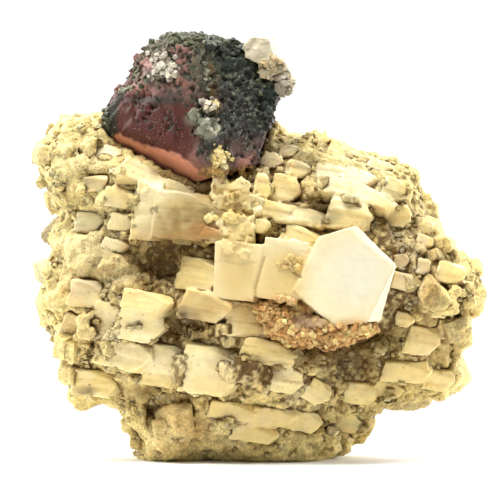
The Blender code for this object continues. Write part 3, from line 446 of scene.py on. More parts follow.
FLUORITE_SPOTS = tuple(Spot(*row) for row in (
    (-23.0, 69.0, 4.4, 3.6, Tone.WINE, 0.5), (-15.5, 66.6, 3.6, 3.6, Tone.WINE, 0.45),
    (-20.0, 72.6, 7.0, 1.1, Tone.GREEN_BLACK, 0.6), (-14.0, 76.4, 4.0, 3.6, Tone.SALMON, 0.5),
    (-21.4, 77.0, 2.2, 1.8, Tone.GREEN_BLACK, 0.8), (-21.0, 83.0, 3.0, 1.6, Tone.LEAF, 0.8),
    (-16.6, 73.8, 3.4, 1.6, Tone.GREEN_BLACK, 0.7), (-12.4, 79.4, 1.8, 4.6, Tone.LEAF, 0.75),
    # the green-black spot in the pit at (-10.7, 71.0) is partly dark skin and partly painted shade of the
    # pit
    (-10.8, 62.8, 1.8, 2.8, Tone.GREEN_BLACK, 0.8), (-10.7, 71.0, 1.5, 2.2, Tone.GREEN_BLACK, 0.95),
    (-9.4, 77.0, 1.4, 4.0, Tone.BRONZE, 0.4), (-19.6, 80.6, 1.9, 1.6, Tone.BONE, 0.95),
    (-17.8, 78.2, 1.6, 1.4, Tone.BONE, 0.95), (-20.0, 77.2, 1.3, 1.1, Tone.BONE, 0.9),
    (-9.4, 71.4, 1.7, 1.2, Tone.TAN, 0.95), (-12.2, 68.8, 2.1, 1.3, Tone.SAGE, 0.95),
    # the white spot at (-8.4, 66.8) is partly a small white crystal and partly a painted glint
    (-9.8, 66.2, 1.9, 1.5, Tone.SAGE, 0.95), (-8.4, 66.8, 0.9, 0.8, Tone.WHITE, 0.9),
    (-8.0, 61.0, 1.5, 1.6, Tone.YELLOW, 0.95), (-7.6, 58.6, 1.6, 1.4, Tone.TAN, 0.9),
))
FLUORITE_CLUSTERS = tuple(Cluster(*row) for row in (
    (-19.0, 79.8, 2.4, 2.6, 60, 0.15, 0.45, Tone.BONE),
    (-18.4, 78.8, 1.6, 2.0, 14, 0.25, 0.5, Tone.WHITE), (-9.8, 71.6, 1.3, 1.1, 16, 0.2, 0.5, Tone.BONE),
    (-9.0, 72.0, 0.9, 0.8, 8, 0.2, 0.4, Tone.CREAM),
    (-12.6, 69.6, 1.5, 1.3, 16, 0.2, 0.5, Tone.SAGE, GrainShape.CUBE, -40.0, 30.0),
    (-10.6, 67.6, 1.9, 1.6, 26, 0.2, 0.55, Tone.SAGE, GrainShape.CUBE, -50.0, 30.0),
    # the white grains at (-8.6, 67.2) are partly their own white and partly a painted glint
    (-9.6, 68.4, 2.0, 2.0, 14, 0.15, 0.4, Tone.BONE), (-8.6, 67.2, 0.7, 0.8, 8, 0.15, 0.35, Tone.WHITE),
    (-7.6, 61.0, 1.2, 2.6, 34, 0.15, 0.42, Tone.STRAW), (-7.2, 60.6, 0.8, 2.0, 10, 0.15, 0.35, Tone.PALE),
    (-8.8, 58.2, 2.6, 1.3, 30, 0.15, 0.42, Tone.TAN, GrainShape.CRUMB),
    (-30.6, 68.0, 1.6, 6.0, 40, 0.15, 0.40, Tone.MOSS),
    (-31.0, 68.6, 0.8, 5.0, 18, 0.12, 0.30, Tone.SAGE),
    (-27.4, 74.4, 2.2, 0.8, 22, 0.12, 0.32, Tone.SAGE),
    (-24.0, 73.6, 3.0, 0.6, 18, 0.10, 0.25, Tone.MAUVE, GrainShape.BLOCK, -25.0, 10.0),
    (-24.8, 77.4, 1.0, 3.4, 26, 0.2, 0.5, Tone.MOSS), (-16.0, 84.8, 5.0, 0.9, 34, 0.15, 0.45, Tone.LEAF),
    (-5.0, 83.0, 5.0, 1.4, 60, 0.2, 0.55, Tone.GREEN_BLACK),
    (1.8, 71.4, 1.2, 5.4, 60, 0.25, 0.65, Tone.GREEN_BLACK),
    (1.4, 73.0, 1.4, 4.0, 16, 0.2, 0.45, Tone.LEAF), (-10.6, 80.0, 0.8, 5.0, 20, 0.12, 0.30, Tone.SAGE),
    (-3.4, 70.4, 5.0, 6.0, 90, 0.06, 0.14, Tone.SAGE), (-20.0, 67.0, 5.0, 4.0, 60, 0.05, 0.11, Tone.ROSE),
    (-2.2, 58.2, 2.4, 1.6, 24, 0.15, 0.42, Tone.TAN),
))
# The fluorite's edge as seen from the front
FLUORITE_EDGE = (
    (-32.6, 68.6), (-27.8, 74.2), (-23.8, 80.6), (-19.8, 86.2), (-3.8, 85.4), (6.2, 78.6), (5.0, 72.6),
    (1.8, 66.6), (0.6, 60.6), (-3.4, 55.8), (-8.6, 55.0), (-13.8, 57.0), (-21.8, 59.4), (-31.0, 62.2),
)
PLATE_SPOTS = tuple(Spot(*row) for row in (
    (19.6, 38.0, 8.6, 8.2, Tone.WHITE, 0.9), (18.2, 28.2, 3.4, 1.5, Tone.AMBER, 0.85),
    (6.4, 40.2, 2.8, 2.1, Tone.GOLD, 0.85), (7.0, 38.4, 0.9, 1.2, Tone.UMBER, 0.5),
    (-4.8, 37.2, 1.6, 1.3, Tone.RUST, 0.6), (-4.8, 37.2, 0.8, 0.7, Tone.CREAM, 0.9),
    (5.8, 43.6, 6.5, 1.6, Tone.PALE, 0.6), (-5.6, 53.2, 5.0, 5.0, Tone.YELLOW, 0.85),
    (-4.0, 46.4, 4.4, 3.6, Tone.YELLOW, 0.8), (-6.0, 49.4, 4.0, 1.0, Tone.OLIVE, 0.6),
    (-4.4, 37.6, 4.8, 6.6, Tone.CREAM, 0.95), (4.4, 36.0, 4.8, 5.4, Tone.CREAM, 0.9),
    (-4.4, 38.6, 4.6, 7.0, Tone.GOLD, 0.52), (4.0, 37.0, 4.6, 6.0, Tone.GOLD, 0.46),
    (3.6, 41.0, 5.0, 3.0, Tone.CREAM, 0.6), (1.0, 32.8, 6.0, 1.2, Tone.AMBER, 0.6),
))
PLATE_CRACKS = (
    Crack(((1.0, 41.4), (0.2, 38.6), (-0.8, 35.6), (-0.6, 32.6)), 0.4, 0.7),
    Crack(((6.2, 39.6), (8.2, 37.6)), 0.35, 0.5),
    Crack(((-7.4, 41.0), (-4.2, 40.2), (-0.4, 40.6)), 0.25, 0.25),
)
PLATE_CLUSTERS = tuple(Cluster(*row) for row in (
    (6.4, 40.2, 2.2, 1.6, 16, 0.2, 0.5, Tone.GOLD, GrainShape.CRUMB),
    (18.4, 28.0, 3.0, 1.0, 14, 0.2, 0.5, Tone.AMBER, GrainShape.CRUMB),
    (2.0, 33.0, 5.0, 0.8, 26, 0.25, 0.6, Tone.AMBER, GrainShape.CRUMB),
    (-5.8, 49.4, 3.4, 0.8, 14, 0.3, 0.7, Tone.YELLOW, GrainShape.CRUMB),
    (-5.2, 52.8, 3.6, 3.2, 36, 0.12, 0.3, Tone.TAN),
))
# Crumbs that the two yellow lumps are built up of
LUMP_CLUSTERS = tuple(Cluster(*row) for row in (
    (-5.8, 53.4, 4.4, 4.2, 90, 0.35, 0.9, Tone.STRAW), (-4.4, 46.8, 3.4, 3.4, 60, 0.3, 0.8, Tone.STRAW),
))
CRUST_SPOTS = tuple(Spot(*row) for row in (
    (9.8, 28.8, 4.2, 2.1, Tone.CLAY, 0.85), (2.0, 30.4, 3.0, 2.0, Tone.AMBER, 0.7),
    (10.0, 25.4, 9.0, 1.6, Tone.AMBER, 0.7), (19.6, 27.0, 3.0, 2.0, Tone.GOLD, 0.7),
    # the umber band along the crust's lower edge is painted shadow under its overhang
    (13.0, 23.4, 8.6, 1.5, Tone.UMBER, 0.85),
))
PERCH_CLUSTERS = tuple(Cluster(*row) for row in (
    (4.4, 75.4, 2.4, 2.4, 26, 0.25, 0.6, Tone.MOSS), (2.4, 79.6, 2.0, 1.6, 14, 0.25, 0.6, Tone.GOLD),
    (1.0, 77.6, 2.4, 1.4, 20, 0.25, 0.55, Tone.PALE), (5.2, 76.4, 1.2, 2.6, 10, 0.25, 0.55, Tone.BONE),
))

FELDSPAR = Scheme(
    Tone.CREAM, Tone.YELLOW, Tone.PALE, Tone.LILAC, Tone.GREY, Tone.TAN, Tone.UMBER, Tone.STRAW, SPOTS
)
FLUORITE = Scheme(
    Tone.PLUM, Tone.WINE, Tone.MAUVE, Tone.WINE, Tone.MOSS, Tone.WINE, Tone.GREEN_BLACK, Tone.PLUM,
    FLUORITE_SPOTS, FLUORITE_PATCHES,
)
PLATES = Scheme(
    Tone.PALE, Tone.CREAM, Tone.PALE, Tone.PALE, Tone.CREAM, Tone.GOLD, Tone.TAN, Tone.PALE, PLATE_SPOTS,
    mottle=0.15,
)
CRUST = Scheme(
    Tone.GOLD, Tone.AMBER, Tone.TAN, Tone.AMBER, Tone.TAN, Tone.RUST, Tone.UMBER, Tone.GOLD, CRUST_SPOTS
)
QUARTZ = Scheme(
    Tone.PALE, Tone.BLUSH, Tone.WHITE, Tone.CREAM, Tone.CREAM, Tone.TAN, Tone.MOSS, Tone.WHITE
)


def deselect() -> None:
    """Leaves nothing selected, so that an operator acts on new geometry alone."""
    if bpy.context.object and bpy.context.object.mode != "OBJECT":
        bpy.ops.object.mode_set(mode="OBJECT")
    bpy.ops.object.select_all(action="DESELECT")


def pick(piece: Piece) -> None:
    """Makes one object the only selected and the active one.

    Args:
        piece: The object to pick.
    """
    deselect()
    piece.select_set(True)
    bpy.context.view_layer.objects.active = piece


def finish_with(piece: Piece, kind: str, **values) -> None:
    """Adds a modifier, sets it and applies it.

    Args:
        piece: The object to work on.
        kind: The modifier's type.
        values: Its settings by name.
    """
    pick(piece)
    step = piece.modifiers.new(kind.title(), kind)
    for name, value in values.items():
        setattr(step, name, value)
    bpy.ops.object.modifier_apply(modifier=step.name)


def merged_copy(node: str, name: str) -> Piece:
    """A copy of a frame node's mesh with its loose triangles merged.

    Args:
        node: The node to copy.
        name: The new piece's name.

    Returns:
        The new object, at the origin.
    """
    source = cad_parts[node]
    mesh = source.data.copy()
    mesh.materials.clear()
    made = bpy.data.objects.new(name, mesh)
    bpy.context.scene.collection.objects.link(made)
    pick(made)
    bpy.ops.object.mode_set(mode="EDIT")
    bpy.ops.mesh.select_all(action="SELECT")
    bpy.ops.mesh.remove_doubles(threshold=0.000002)
    bpy.ops.object.mode_set(mode="OBJECT")
    return made


def join(pieces: list[Piece], name: str) -> Piece:
    """Joins objects into one mesh.

    Args:
        pieces: The objects to join.
        name: The joined piece's name.

    Returns:
        The joined object.
    """
    deselect()
    for piece in pieces:
        piece.select_set(True)
    bpy.context.view_layer.objects.active = pieces[0]
    if len(pieces) > 1:
        bpy.ops.object.join()
    made = bpy.context.view_layer.objects.active
    made.name = name
    return made


def duplicate(piece: Piece) -> Piece:
    """Makes a second object with a mesh of its own.

    Args:
        piece: The object to copy.

    Returns:
        The copy.
    """
    made = piece.copy()
    made.data = piece.data.copy()
    bpy.context.scene.collection.objects.link(made)
    return made


def cut_off(place: Vector, normal: Vector) -> None:
    """Cuts away all beyond a plane, on its normal's side, and closes the cut, in edit mode."""
    bpy.ops.mesh.select_all(action="SELECT")
    bpy.ops.mesh.bisect(plane_co=place, plane_no=normal, use_fill=True, clear_outer=True)


def surface_of(pieces: list[Piece]) -> BVHTree:
    """The surfaces of some pieces as one tree that rays and distances are taken from.

    Args:
        pieces: The pieces.

    Returns:
        The tree of all their faces.
    """
    whole = bmesh.new()
    for piece in pieces:
        whole.from_mesh(piece.data)
    tree = BVHTree.FromBMesh(whole)
    whole.free()
    return tree


def vertex_table(piece: Piece) -> np.ndarray:
    """The piece's vertices, with Y counted from the outline's plane.

    Args:
        piece: The object to measure.

    Returns:
        One row for each vertex, in millimetres.
    """
    points = np.empty(len(piece.data.vertices) * 3, dtype=np.float64)
    piece.data.vertices.foreach_get("co", points)
    return points.reshape(-1, 3) / MM - STAND


def set_vertices(piece: Piece, points: np.ndarray) -> None:
    """Writes vertices back, given as vertex_table gives them."""
    piece.data.vertices.foreach_set("co", ((points + STAND) * MM).ravel())
    piece.data.update()


def vertex_normals(piece: Piece) -> np.ndarray:
    """The piece's vertex normals.

    Args:
        piece: The object to measure.

    Returns:
        One row for each vertex.
    """
    normals = np.empty(len(piece.data.vertices) * 3, dtype=np.float64)
    piece.data.vertex_normals.foreach_get("vector", normals)
    return normals.reshape(-1, 3)


def paint(piece: Piece, name: str, colours: np.ndarray) -> None:
    """Stores a colour for each vertex.

    Args:
        piece: The object to paint.
        name: The attribute's name.
        colours: Linear red, green and blue for each vertex.
    """
    layer = piece.data.color_attributes.new(name=name, type="FLOAT_COLOR", domain="POINT")
    full = np.ones((len(colours), 4), dtype=np.float32)
    full[:, :3] = np.clip(colours, 0.0, 1.0)
    layer.data.foreach_set("color", full.ravel())


def turned(y: float, z: float, x: float) -> Matrix:
    """A turn about the own Y, then Z, then X, in degrees."""
    steps = [Matrix.Rotation(math.radians(angle), 4, axis) for axis, angle in zip("YZX", (y, z, x))]
    return steps[0] @ steps[1] @ steps[2]


def press(piece: Piece, points: np.ndarray, relief: np.ndarray) -> None:
    """Moves each vertex along its normal by the relief there, in millimetres."""
    set_vertices(piece, points + vertex_normals(piece) * relief[:, None])


def mottling(points: np.ndarray, scale: float, shift: float) -> np.ndarray:
    """Smooth seeded noise, about -1 to 1, by a patch's size in mm and a shift that moves the pattern."""
    offset = Vector((shift, 2.0 * shift, SEED))
    return np.array([noise.noise(Vector(point) / scale + offset) for point in points])


class RockForm:
    """The matrix's own shape: where its front lies and how a crystal stands on it."""

    core = Vector((-1.8, 34.6))
    bulge = 20.0
    nose = 3.5
    nose_at = (4.0, 32.0)
    nose_reach = 22.0
    roughness = 1.3
    coarse = 7.0
    fine = 3.4
    heave = (17.0, 5.0)
    slope_step = 1.5
    steepest = 55.0

    def reach(self, x: float, z: float) -> float:
        """How far out a place of the front view lies.

        Args:
            x: The place's X.
            z: The place's Z.

        Returns:
            0 at the core to 1 on the outline.
        """
        away = Vector((x, z)) - self.core
        if away.length < 1e-6:
            return 0.0
        heading = away.normalized()
        for index, point in enumerate(OUTLINE):
            start = Vector(point) - self.core
            side = Vector(OUTLINE[(index + 1) % len(OUTLINE)]) - self.core - start
            across = heading.cross(side)
            if abs(across) < 1e-9:
                continue
            along = start.cross(side) / across
            share = start.cross(heading) / across
            if along > 0 and -1e-6 <= share <= 1 + 1e-6:
                return away.length / along
        return 1.0

    def ruggedness(self, x: float, y: float, z: float, scale: float, amount: float) -> float:
        """Seeded relief of the broken rock."""
        return amount * noise.noise(Vector((x, y, z)) / scale + Vector((3.1, 7.7, SEED)))

    def front(self, x: float, z: float) -> float:
        """Finds the rock's front under a place of the front view.

        Args:
            x: The place's X.
            z: The place's Z.

        Returns:
            The front's Y, in millimetres.
        """
        reach = min(self.reach(x, z), 1.0)
        near = (x - self.nose_at[0]) ** 2 + (z - self.nose_at[1]) ** 2
        nose = self.nose * math.exp(-near / self.nose_reach**2)
        depth = (self.bulge + nose) * (1.0 - reach**2.6) ** 0.55
        fade = 1.0 - reach**6
        coarse = self.ruggedness(x, 5.0, z, self.coarse, self.roughness)
        fine = self.ruggedness(x, 9.0, z, self.fine, 0.6 * self.roughness)
        depth += fade * (coarse + fine)
        for pit in HOLLOWS:
            near = ((x - pit.x) / pit.across) ** 2 + ((z - pit.z) / pit.up) ** 2
            depth -= pit.depth * math.exp(-(near**1.5)) * fade
        return self.ruggedness(x, 0.0, z, *self.heave) - max(depth, -1.0)

    def slope_turn(self, x: float, z: float, follow: float) -> Matrix:
        """Turns a crystal part of the way towards the slope that it stands on.

        Args:
            x: The crystal's X.
            z: The crystal's Z.
            follow: How far it follows the slope, 0 to 1.

        Returns:
            The turn.
        """
        step = self.slope_step
        slope_x = (self.front(x + step, z) - self.front(x - step, z)) / (2 * step)
        slope_z = (self.front(x, z + step) - self.front(x, z - step)) / (2 * step)
        limit = math.radians(self.steepest)
        yaw = max(-limit, min(limit, follow * math.atan(slope_x)))
        pitch = max(-limit, min(limit, -follow * math.atan(slope_z)))
        return Matrix.Rotation(yaw, 4, "Z") @ Matrix.Rotation(pitch, 4, "X")

    def block_place(self, block: Block) -> Matrix:
        """Where a named crystal lies and how it is turned.

        Args:
            block: The crystal.

        Returns:
            The place of its middle, in metres of the frame.
        """
        turn = self.slope_turn(block.x, block.z, 0.45) @ turned(-block.turn, block.lean, -block.tip)
        y = self.front(block.x, block.z) - block.proud + STAND_BACK
        face = Vector((block.x, y, block.z)) * MM
        middle = face - turn @ Vector((0, -block.depth / 2 * MM, 0))
        return Matrix.Translation(middle) @ turn


class Shelter:
    """How deep in a crevice each place lies, from short rays cast around it; it sets where stain and
    painted shade go.
    """

    rays = 9
    spread = 61

    def __init__(self, pieces: list[Piece], reach: float = 3.4) -> None:
        """Collects the surfaces that give shelter.

        Args:
            pieces: The pieces that give shelter.
            reach: How far a ray looks, in millimetres.
        """
        self.reach = reach
        self.tree = surface_of(pieces)
        draw = random.Random(SEED)
        self.ways = [
            Vector((draw.gauss(0.0, 1.0), draw.gauss(0.0, 1.0), draw.gauss(0.0, 1.0))).normalized()
            for _ in range(self.spread)
        ]

    def at(self, points: np.ndarray, normals: np.ndarray) -> np.ndarray:
        """How sheltered each point is.

        Args:
            points: Places in millimetres, Y counted from the outline's plane.
            normals: The surface's normals there.

        Returns:
            0 for an open face to 1 for the bottom of a pit.
        """
        starts = (points + normals * 0.08 + STAND) * MM
        reach = self.reach * MM
        ways, cast = self.ways, self.tree.ray_cast
        result = np.zeros(len(points))
        for index, (start, normal) in enumerate(zip(starts.tolist(), normals.tolist())):
            out = Vector(normal)
            total = 0.0
            for step in range(self.rays):
                way = ways[(index * 13 + step * 7) % self.spread]
                way = way if way.dot(out) > 0 else -way
                way = way + 0.6 * out
                hit = cast(start, way, reach)
                if hit[0] is not None:
                    total += 1.0 - 0.7 * hit[3] / reach
            result[index] = total / self.rays
        return result


@dataclass
class Colouring:
    """Works out a mineral's colour from its place, its shelter, which darkens recesses with stain and
    painted shade, and the patches of its scheme.

    A cloud is the size of its patches in millimetres and a shift that tells it from the others. The grime
    fills an ellipse of the show side, and its straw rim begins where the ellipse ends.
    """

    scheme: Scheme
    shelter: Shelter | None = None
    broad: tuple = (9.0, 1.0)
    middle: tuple = (3.4, 3.0)
    small: tuple = (1.6, 5.0)
    grime_small: tuple = (1.2, 15.0)
    grime_broad: tuple = (4.6, 17.0)
    grime_core: tuple = (3.0, 33.0)
    grime_reach: tuple = (37.0, 31.0)
    fade: float = 8.0

    def at(self, points: np.ndarray, normals: np.ndarray, stain_and_shade: float, grime: float) -> np.ndarray:
        """The colour at each point.

        Args:
            points: Places in millimetres.
            normals: The surface's normals there.
            stain_and_shade: How strongly sheltered stone is darkened, partly stain and partly painted
                shade.
            grime: How strongly the middle of the show side is clouded brown.

        Returns:
            Linear red, green and blue for each point.
        """
        scheme = self.scheme
        small = mottling(points, *self.small)
        back = np.clip((points[:, 1] - scheme.front_ends) / self.fade, 0.0, 1.0)
        show = np.clip((scheme.front_ends - points[:, 1]) / self.fade, 0.0, 1.0)
        hollow = np.clip(self.shelter.at(points, normals) * (1.0 + 0.5 * small), 0.0, 1.0)
        colours = self.ground(points, small, hollow, back)
        colours = self.marked(colours, points, small, show)
        if grime:
            colours = self.grimy(colours, points, grime, show)
        # Sheltered places take the recess and deep tones: partly stain in the pits, partly painted shade
        # where little light reaches.
        colours = blend(colours, scheme.recess, stain_and_shade * 0.8 * np.clip(hollow * 3.0 - 0.45, 0.0, 1.0))
        colours = blend(colours, scheme.deep, stain_and_shade * np.clip(hollow * 2.6 - 0.75, 0.0, 0.95))
        # The back is painted darker, a painted shade that tones down the strong back light.
        return colours * (1.0 - 0.28 * back + 0.10 * scheme.mottle * small)[:, None]

    def ground(
        self, points: np.ndarray, small: np.ndarray, hollow: np.ndarray, back: np.ndarray
    ) -> np.ndarray:
        """The mineral's own clouded colour, its paler open edges, partly wear and partly painted light, and
        its back.

        Args:
            points: Places in millimetres.
            small: The small clouds there.
            hollow: How sheltered each place is.
            back: How far towards the back each place lies.

        Returns:
            The colours.
        """
        scheme = self.scheme
        broad = mottling(points, *self.broad)
        middle = mottling(points, *self.middle)
        colours = np.tile(np.array(scheme.ground.value), (len(points), 1))
        for tone, share in (
            (scheme.warm, np.clip(broad * 1.6, 0.0, 0.7)),
            (scheme.cool, np.clip(-broad * 1.4, 0.0, 0.6)),
            (scheme.cool, np.clip(middle * 1.3, 0.0, 0.55)),
            (scheme.warm, np.clip(-middle * 1.1, 0.0, 0.45)),
            (scheme.fleck, np.clip(small * 0.7 - 0.1, 0.0, 0.4)),
            # open places that nothing shelters take the paler edge tone: partly wear, partly painted light
            (scheme.edge, 0.45 * np.clip(1.0 - 9.0 * hollow, 0.0, 1.0)),
            (scheme.back, 0.85 * back * np.clip(0.85 + broad + middle, 0.3, 1.0)),
        ):
            colours = blend(colours, tone, share)
        return colours

    def marked(
        self, colours: np.ndarray, points: np.ndarray, small: np.ndarray, show: np.ndarray
    ) -> np.ndarray:
        """Adds the scheme's patches and spots.

        Args:
            colours: The colours so far.
            points: Places in millimetres.
            small: The small clouds there.
            show: How far towards the show side each place lies.

        Returns:
            The colours with their marks.
        """
        wobbled = points + np.stack((small, small, np.roll(small, 7)), axis=1) * 0.5
        for patch in self.scheme.patches:
            colours = blend(colours, patch.tone, patch.strength * patch.share(wobbled) * show)
        uneven = 1.0 + 0.7 * self.scheme.mottle * small
        for spot in self.scheme.spots:
            away = ((points[:, 0] - spot.x) / spot.across) ** 2 + ((points[:, 2] - spot.z) / spot.up) ** 2
            share = spot.strength * np.exp(-(away**1.4)) * uneven
            colours = blend(colours, spot.tone, np.clip(share, 0.0, 0.95) * show)
        return colours

    def grimy(self, colours: np.ndarray, points: np.ndarray, grime: float, show: np.ndarray) -> np.ndarray:
        """Adds the brown clouds of the show side's middle and the straw colour around them.

        Args:
            colours: The colours so far.
            points: Places in millimetres.
            grime: How strong the clouds are.
            show: How far towards the show side each place lies.

        Returns:
            The clouded colours.
        """
        (core_x, core_z), (reach_x, reach_z) = self.grime_core, self.grime_reach
        inner = 1.30 - ((points[:, 0] - core_x) / reach_x) ** 2 - ((points[:, 2] - core_z) / reach_z) ** 2
        patchy = 1.2 * mottling(points, *self.grime_small) + 0.9 * mottling(points, *self.grime_broad)
        share = grime * np.clip(inner, 0.0, 1.0) * np.clip(patchy * 2.0 + 0.5, 0.0, 1.0) * show
        colours = blend(colours, Tone.STRAW, 0.55 * grime * np.clip(0.95 - inner, 0.0, 1.0) * show)
        colours = blend(colours, Tone.BRONZE, 0.75 * share)
        return blend(colours, Tone.UMBER, 0.85 * np.clip(share * 2.0 - 1.0, 0.0, 1.0))


def blend(colours: np.ndarray, tone: Tone, share: np.ndarray) -> np.ndarray:
    """Mixes a tone into each colour by its own share, 0 to 1."""
    part = np.clip(share, 0.0, 1.0)[:, None]
    return colours * (1.0 - part) + np.array(tone.value) * part


class Wiring:
    """Builds one material's node tree with short calls."""

    def __init__(self, name: str) -> None:
        """Starts a material with an empty Principled surface.

        Args:
            name: The material's name.
        """
        self.material = bpy.data.materials.new(name)
        self.material.use_nodes = True
        self.tree = self.material.node_tree
        self.shader = self.tree.nodes["Principled BSDF"]

    def add(self, kind: str, **settings) -> bpy.types.Node:
        """Adds a node and sets its own properties.

        Args:
            kind: The node's type.
            settings: Its properties by name.

        Returns:
            The new node.
        """
        node = self.tree.nodes.new(kind)
        for name, value in settings.items():
            setattr(node, name, value)
        return node

    def plug(self, value: Value, socket: Socket) -> None:
        """Links an input to another node's output, or sets it to a number or a colour.

        Args:
            value: The output socket, number or colour.
            socket: The input.
        """
        if isinstance(value, Socket):
            self.tree.links.new(value, socket)
        else:
            socket.default_value = value

    def feed(self, node: bpy.types.Node, **values: Value) -> bpy.types.Node:
        """Sets or links a node's inputs; an underscore in a name stands for a space.

        Args:
            node: The node to feed.
            values: Numbers, colours or output sockets by input name.

        Returns:
            The same node.
        """
        for name, value in values.items():
            self.plug(value, node.inputs[name.replace("_", " ")])
        return node

    def step(self, operation: str, *values: Value) -> Socket:
        """One arithmetic step.

        Args:
            operation: The operation's name.
            values: Numbers or output sockets, in order.

        Returns:
            The result's socket.
        """
        node = self.add("ShaderNodeMath", operation=operation)
        for socket, value in zip(node.inputs, values):
            self.plug(value, socket)
        return node.outputs[0]

    def mix(self, share: Value, first: Value, second: Value, blend_type: str = "MIX") -> Socket:
        """Mixes two colours.

        Args:
            share: How much of the second colour shows.
            first: The first colour.
            second: The second colour.
            blend_type: The way of mixing.

        Returns:
            The mixed colour's socket.
        """
        node = self.add("ShaderNodeMix", data_type="RGBA", blend_type=blend_type)
        for index, value in ((0, share), (6, first), (7, second)):
            self.plug(value, node.inputs[index])
        return node.outputs[2]

    def noise(self, where: Socket, scale: float, detail: float = 3.0, rough: float = 0.6) -> Socket:
        """Noise, 0 to 1, with a number of patches to the metre and of finer layers on them."""
        node = self.add("ShaderNodeTexNoise")
        return self.feed(node, Vector=where, Scale=scale, Detail=detail, Roughness=rough).outputs["Fac"]

    def cells(self, where: Socket, scale: float) -> Socket:
        """Distance to the nearest cell's middle, with a number of cells to the metre."""
        return self.feed(self.add("ShaderNodeTexVoronoi"), Vector=where, Scale=scale).outputs["Distance"]

    def place(self) -> Socket:
        """The piece's own Object coordinates."""
        return self.add("ShaderNodeTexCoord").outputs["Object"]

    def attribute(self, name: str, output: str = "Color") -> Socket:
        """A value stored on the piece's mesh."""
        return self.add("ShaderNodeAttribute", attribute_name=name).outputs[output]

    def stretched(self, where: Socket, scale: tuple) -> Socket:
        """Coordinates scaled along each axis."""
        return self.feed(self.add("ShaderNodeMapping"), Vector=where, Scale=scale).outputs["Vector"]

    def bump(self, height: Socket, strength: float, depth: float, **over: Socket) -> Socket:
        """Relief too fine for the mesh, its depth in metres; Normal is the relief that it lies on."""
        values = {"Height": height, "Strength": strength, "Distance": depth, **over}
        return self.feed(self.add("ShaderNodeBump"), **values).outputs["Normal"]

    def as_grey(self, value: Socket) -> Socket:
        """Turns a number into a grey."""
        node = self.add("ShaderNodeCombineColor")
        return self.feed(node, Red=value, Green=value, Blue=value).outputs[0]


@dataclass(frozen=True)
class StoneFinish:
    """A mineral surface: its painted colours, growth lines, grain, specks and glow."""

    name: str
    roughness: float = 0.48
    glow: float = 0.12
    striation: float = 0.25
    grain: float = 0.35
    speck: Tone = Tone.TAN
    specks: float = 0.5
    speck_scale: float = 760.0
    ior: float = 1.53
    sugar: float = 0.0
    sheen: float = 0.35
    streaks: float = 0.0
    clouds: float = 0.5

    def make(self) -> bpy.types.Material:
        """Builds the material.

        Returns:
            The material.
        """
        wiring = Wiring(self.name)
        where = wiring.place()
        along = wiring.attribute("axis_place", "Vector")
        stripes = wiring.noise(wiring.stretched(along, (0.16, 0.7, 2.2)), 1.0, 4.0, 0.7)
        cloud = wiring.noise(where, 420.0, 4.0, 0.7)
        fine = wiring.noise(where, 2300.0, 3.0, 0.7)
        light = wiring.step("MULTIPLY_ADD", cloud, self.clouds, 1.0 - 0.5 * self.clouds)
        shade = wiring.step("MULTIPLY_ADD", stripes, 0.4 * self.striation, 1.0 - 0.20 * self.striation)
        colour = wiring.attribute("tint")
        for rise, tone in ((5.0, Tone.PALE), (-5.0, Tone.GOLD)):
            over = wiring.step("MULTIPLY_ADD", stripes, rise, -0.5 * rise - 0.15)
            kept = wiring.step("MINIMUM", wiring.step("MAXIMUM", over, 0.0), 1.0)
            share = wiring.step("MULTIPLY", kept, self.streaks)
            colour = wiring.mix(share, colour, (*tone.value, 1.0))
        crumbs = wiring.step("ADD", wiring.cells(where, 900.0), wiring.cells(where, 2000.0))
        between = wiring.step("MULTIPLY_ADD", crumbs, -0.55 * self.sugar, 1.0 + 0.35 * self.sugar)
        for grey in (light, shade, between):
            colour = wiring.mix(1.0, colour, wiring.as_grey(grey), "MULTIPLY")
        near = wiring.step("LESS_THAN", wiring.cells(where, self.speck_scale), 0.17)
        some = wiring.step("GREATER_THAN", wiring.noise(where, 260.0, 2.0), 0.54)
        share = wiring.step("MULTIPLY", wiring.step("MULTIPLY", near, some), self.specks)
        colour = wiring.mix(share, colour, (*self.speck.value, 1.0))
        rough = wiring.step("MULTIPLY_ADD", fine, 0.24, self.roughness - 0.12)
        relief = wiring.bump(stripes, self.striation, 0.00035)
        relief = wiring.bump(fine, self.grain, 0.00022, Normal=relief)
        if self.sugar:
            relief = wiring.bump(between, 0.9 * self.sugar, 0.0005, Normal=relief)
        wiring.feed(wiring.shader, Base_Color=colour, Roughness=rough, Normal=relief)
        wiring.feed(wiring.shader, Subsurface_Weight=self.glow, Subsurface_Scale=0.0024)
        wiring.feed(wiring.shader, Subsurface_Radius=(1.0, 0.62, 0.30))
        wiring.feed(wiring.shader, IOR=self.ior, Specular_IOR_Level=self.sheen)
        return wiring.material


@dataclass(frozen=True)
class ClearFinish:
    """Half-clear pale quartz: light passes through it and it is faintly clouded."""

    name: str
    clear: float = 0.3

    def make(self) -> bpy.types.Material:
        """Builds the material.

        Returns:
            The material.
        """
        wiring = Wiring(self.name)
        where = wiring.place()
        cloud = wiring.noise(where, 700.0, 3.0, 0.6)
        tint = wiring.mix(cloud, (*Tone.PALE.value, 1.0), (*Tone.BLUSH.value, 1.0))
        colour = wiring.mix(0.35, wiring.attribute("tint"), tint)
        relief = wiring.bump(cloud, 0.25, 0.0002)
        wiring.feed(wiring.shader, Base_Color=colour, Normal=relief, Roughness=0.24)
        wiring.feed(wiring.shader, Transmission_Weight=self.clear, IOR=1.54)
        return wiring.material


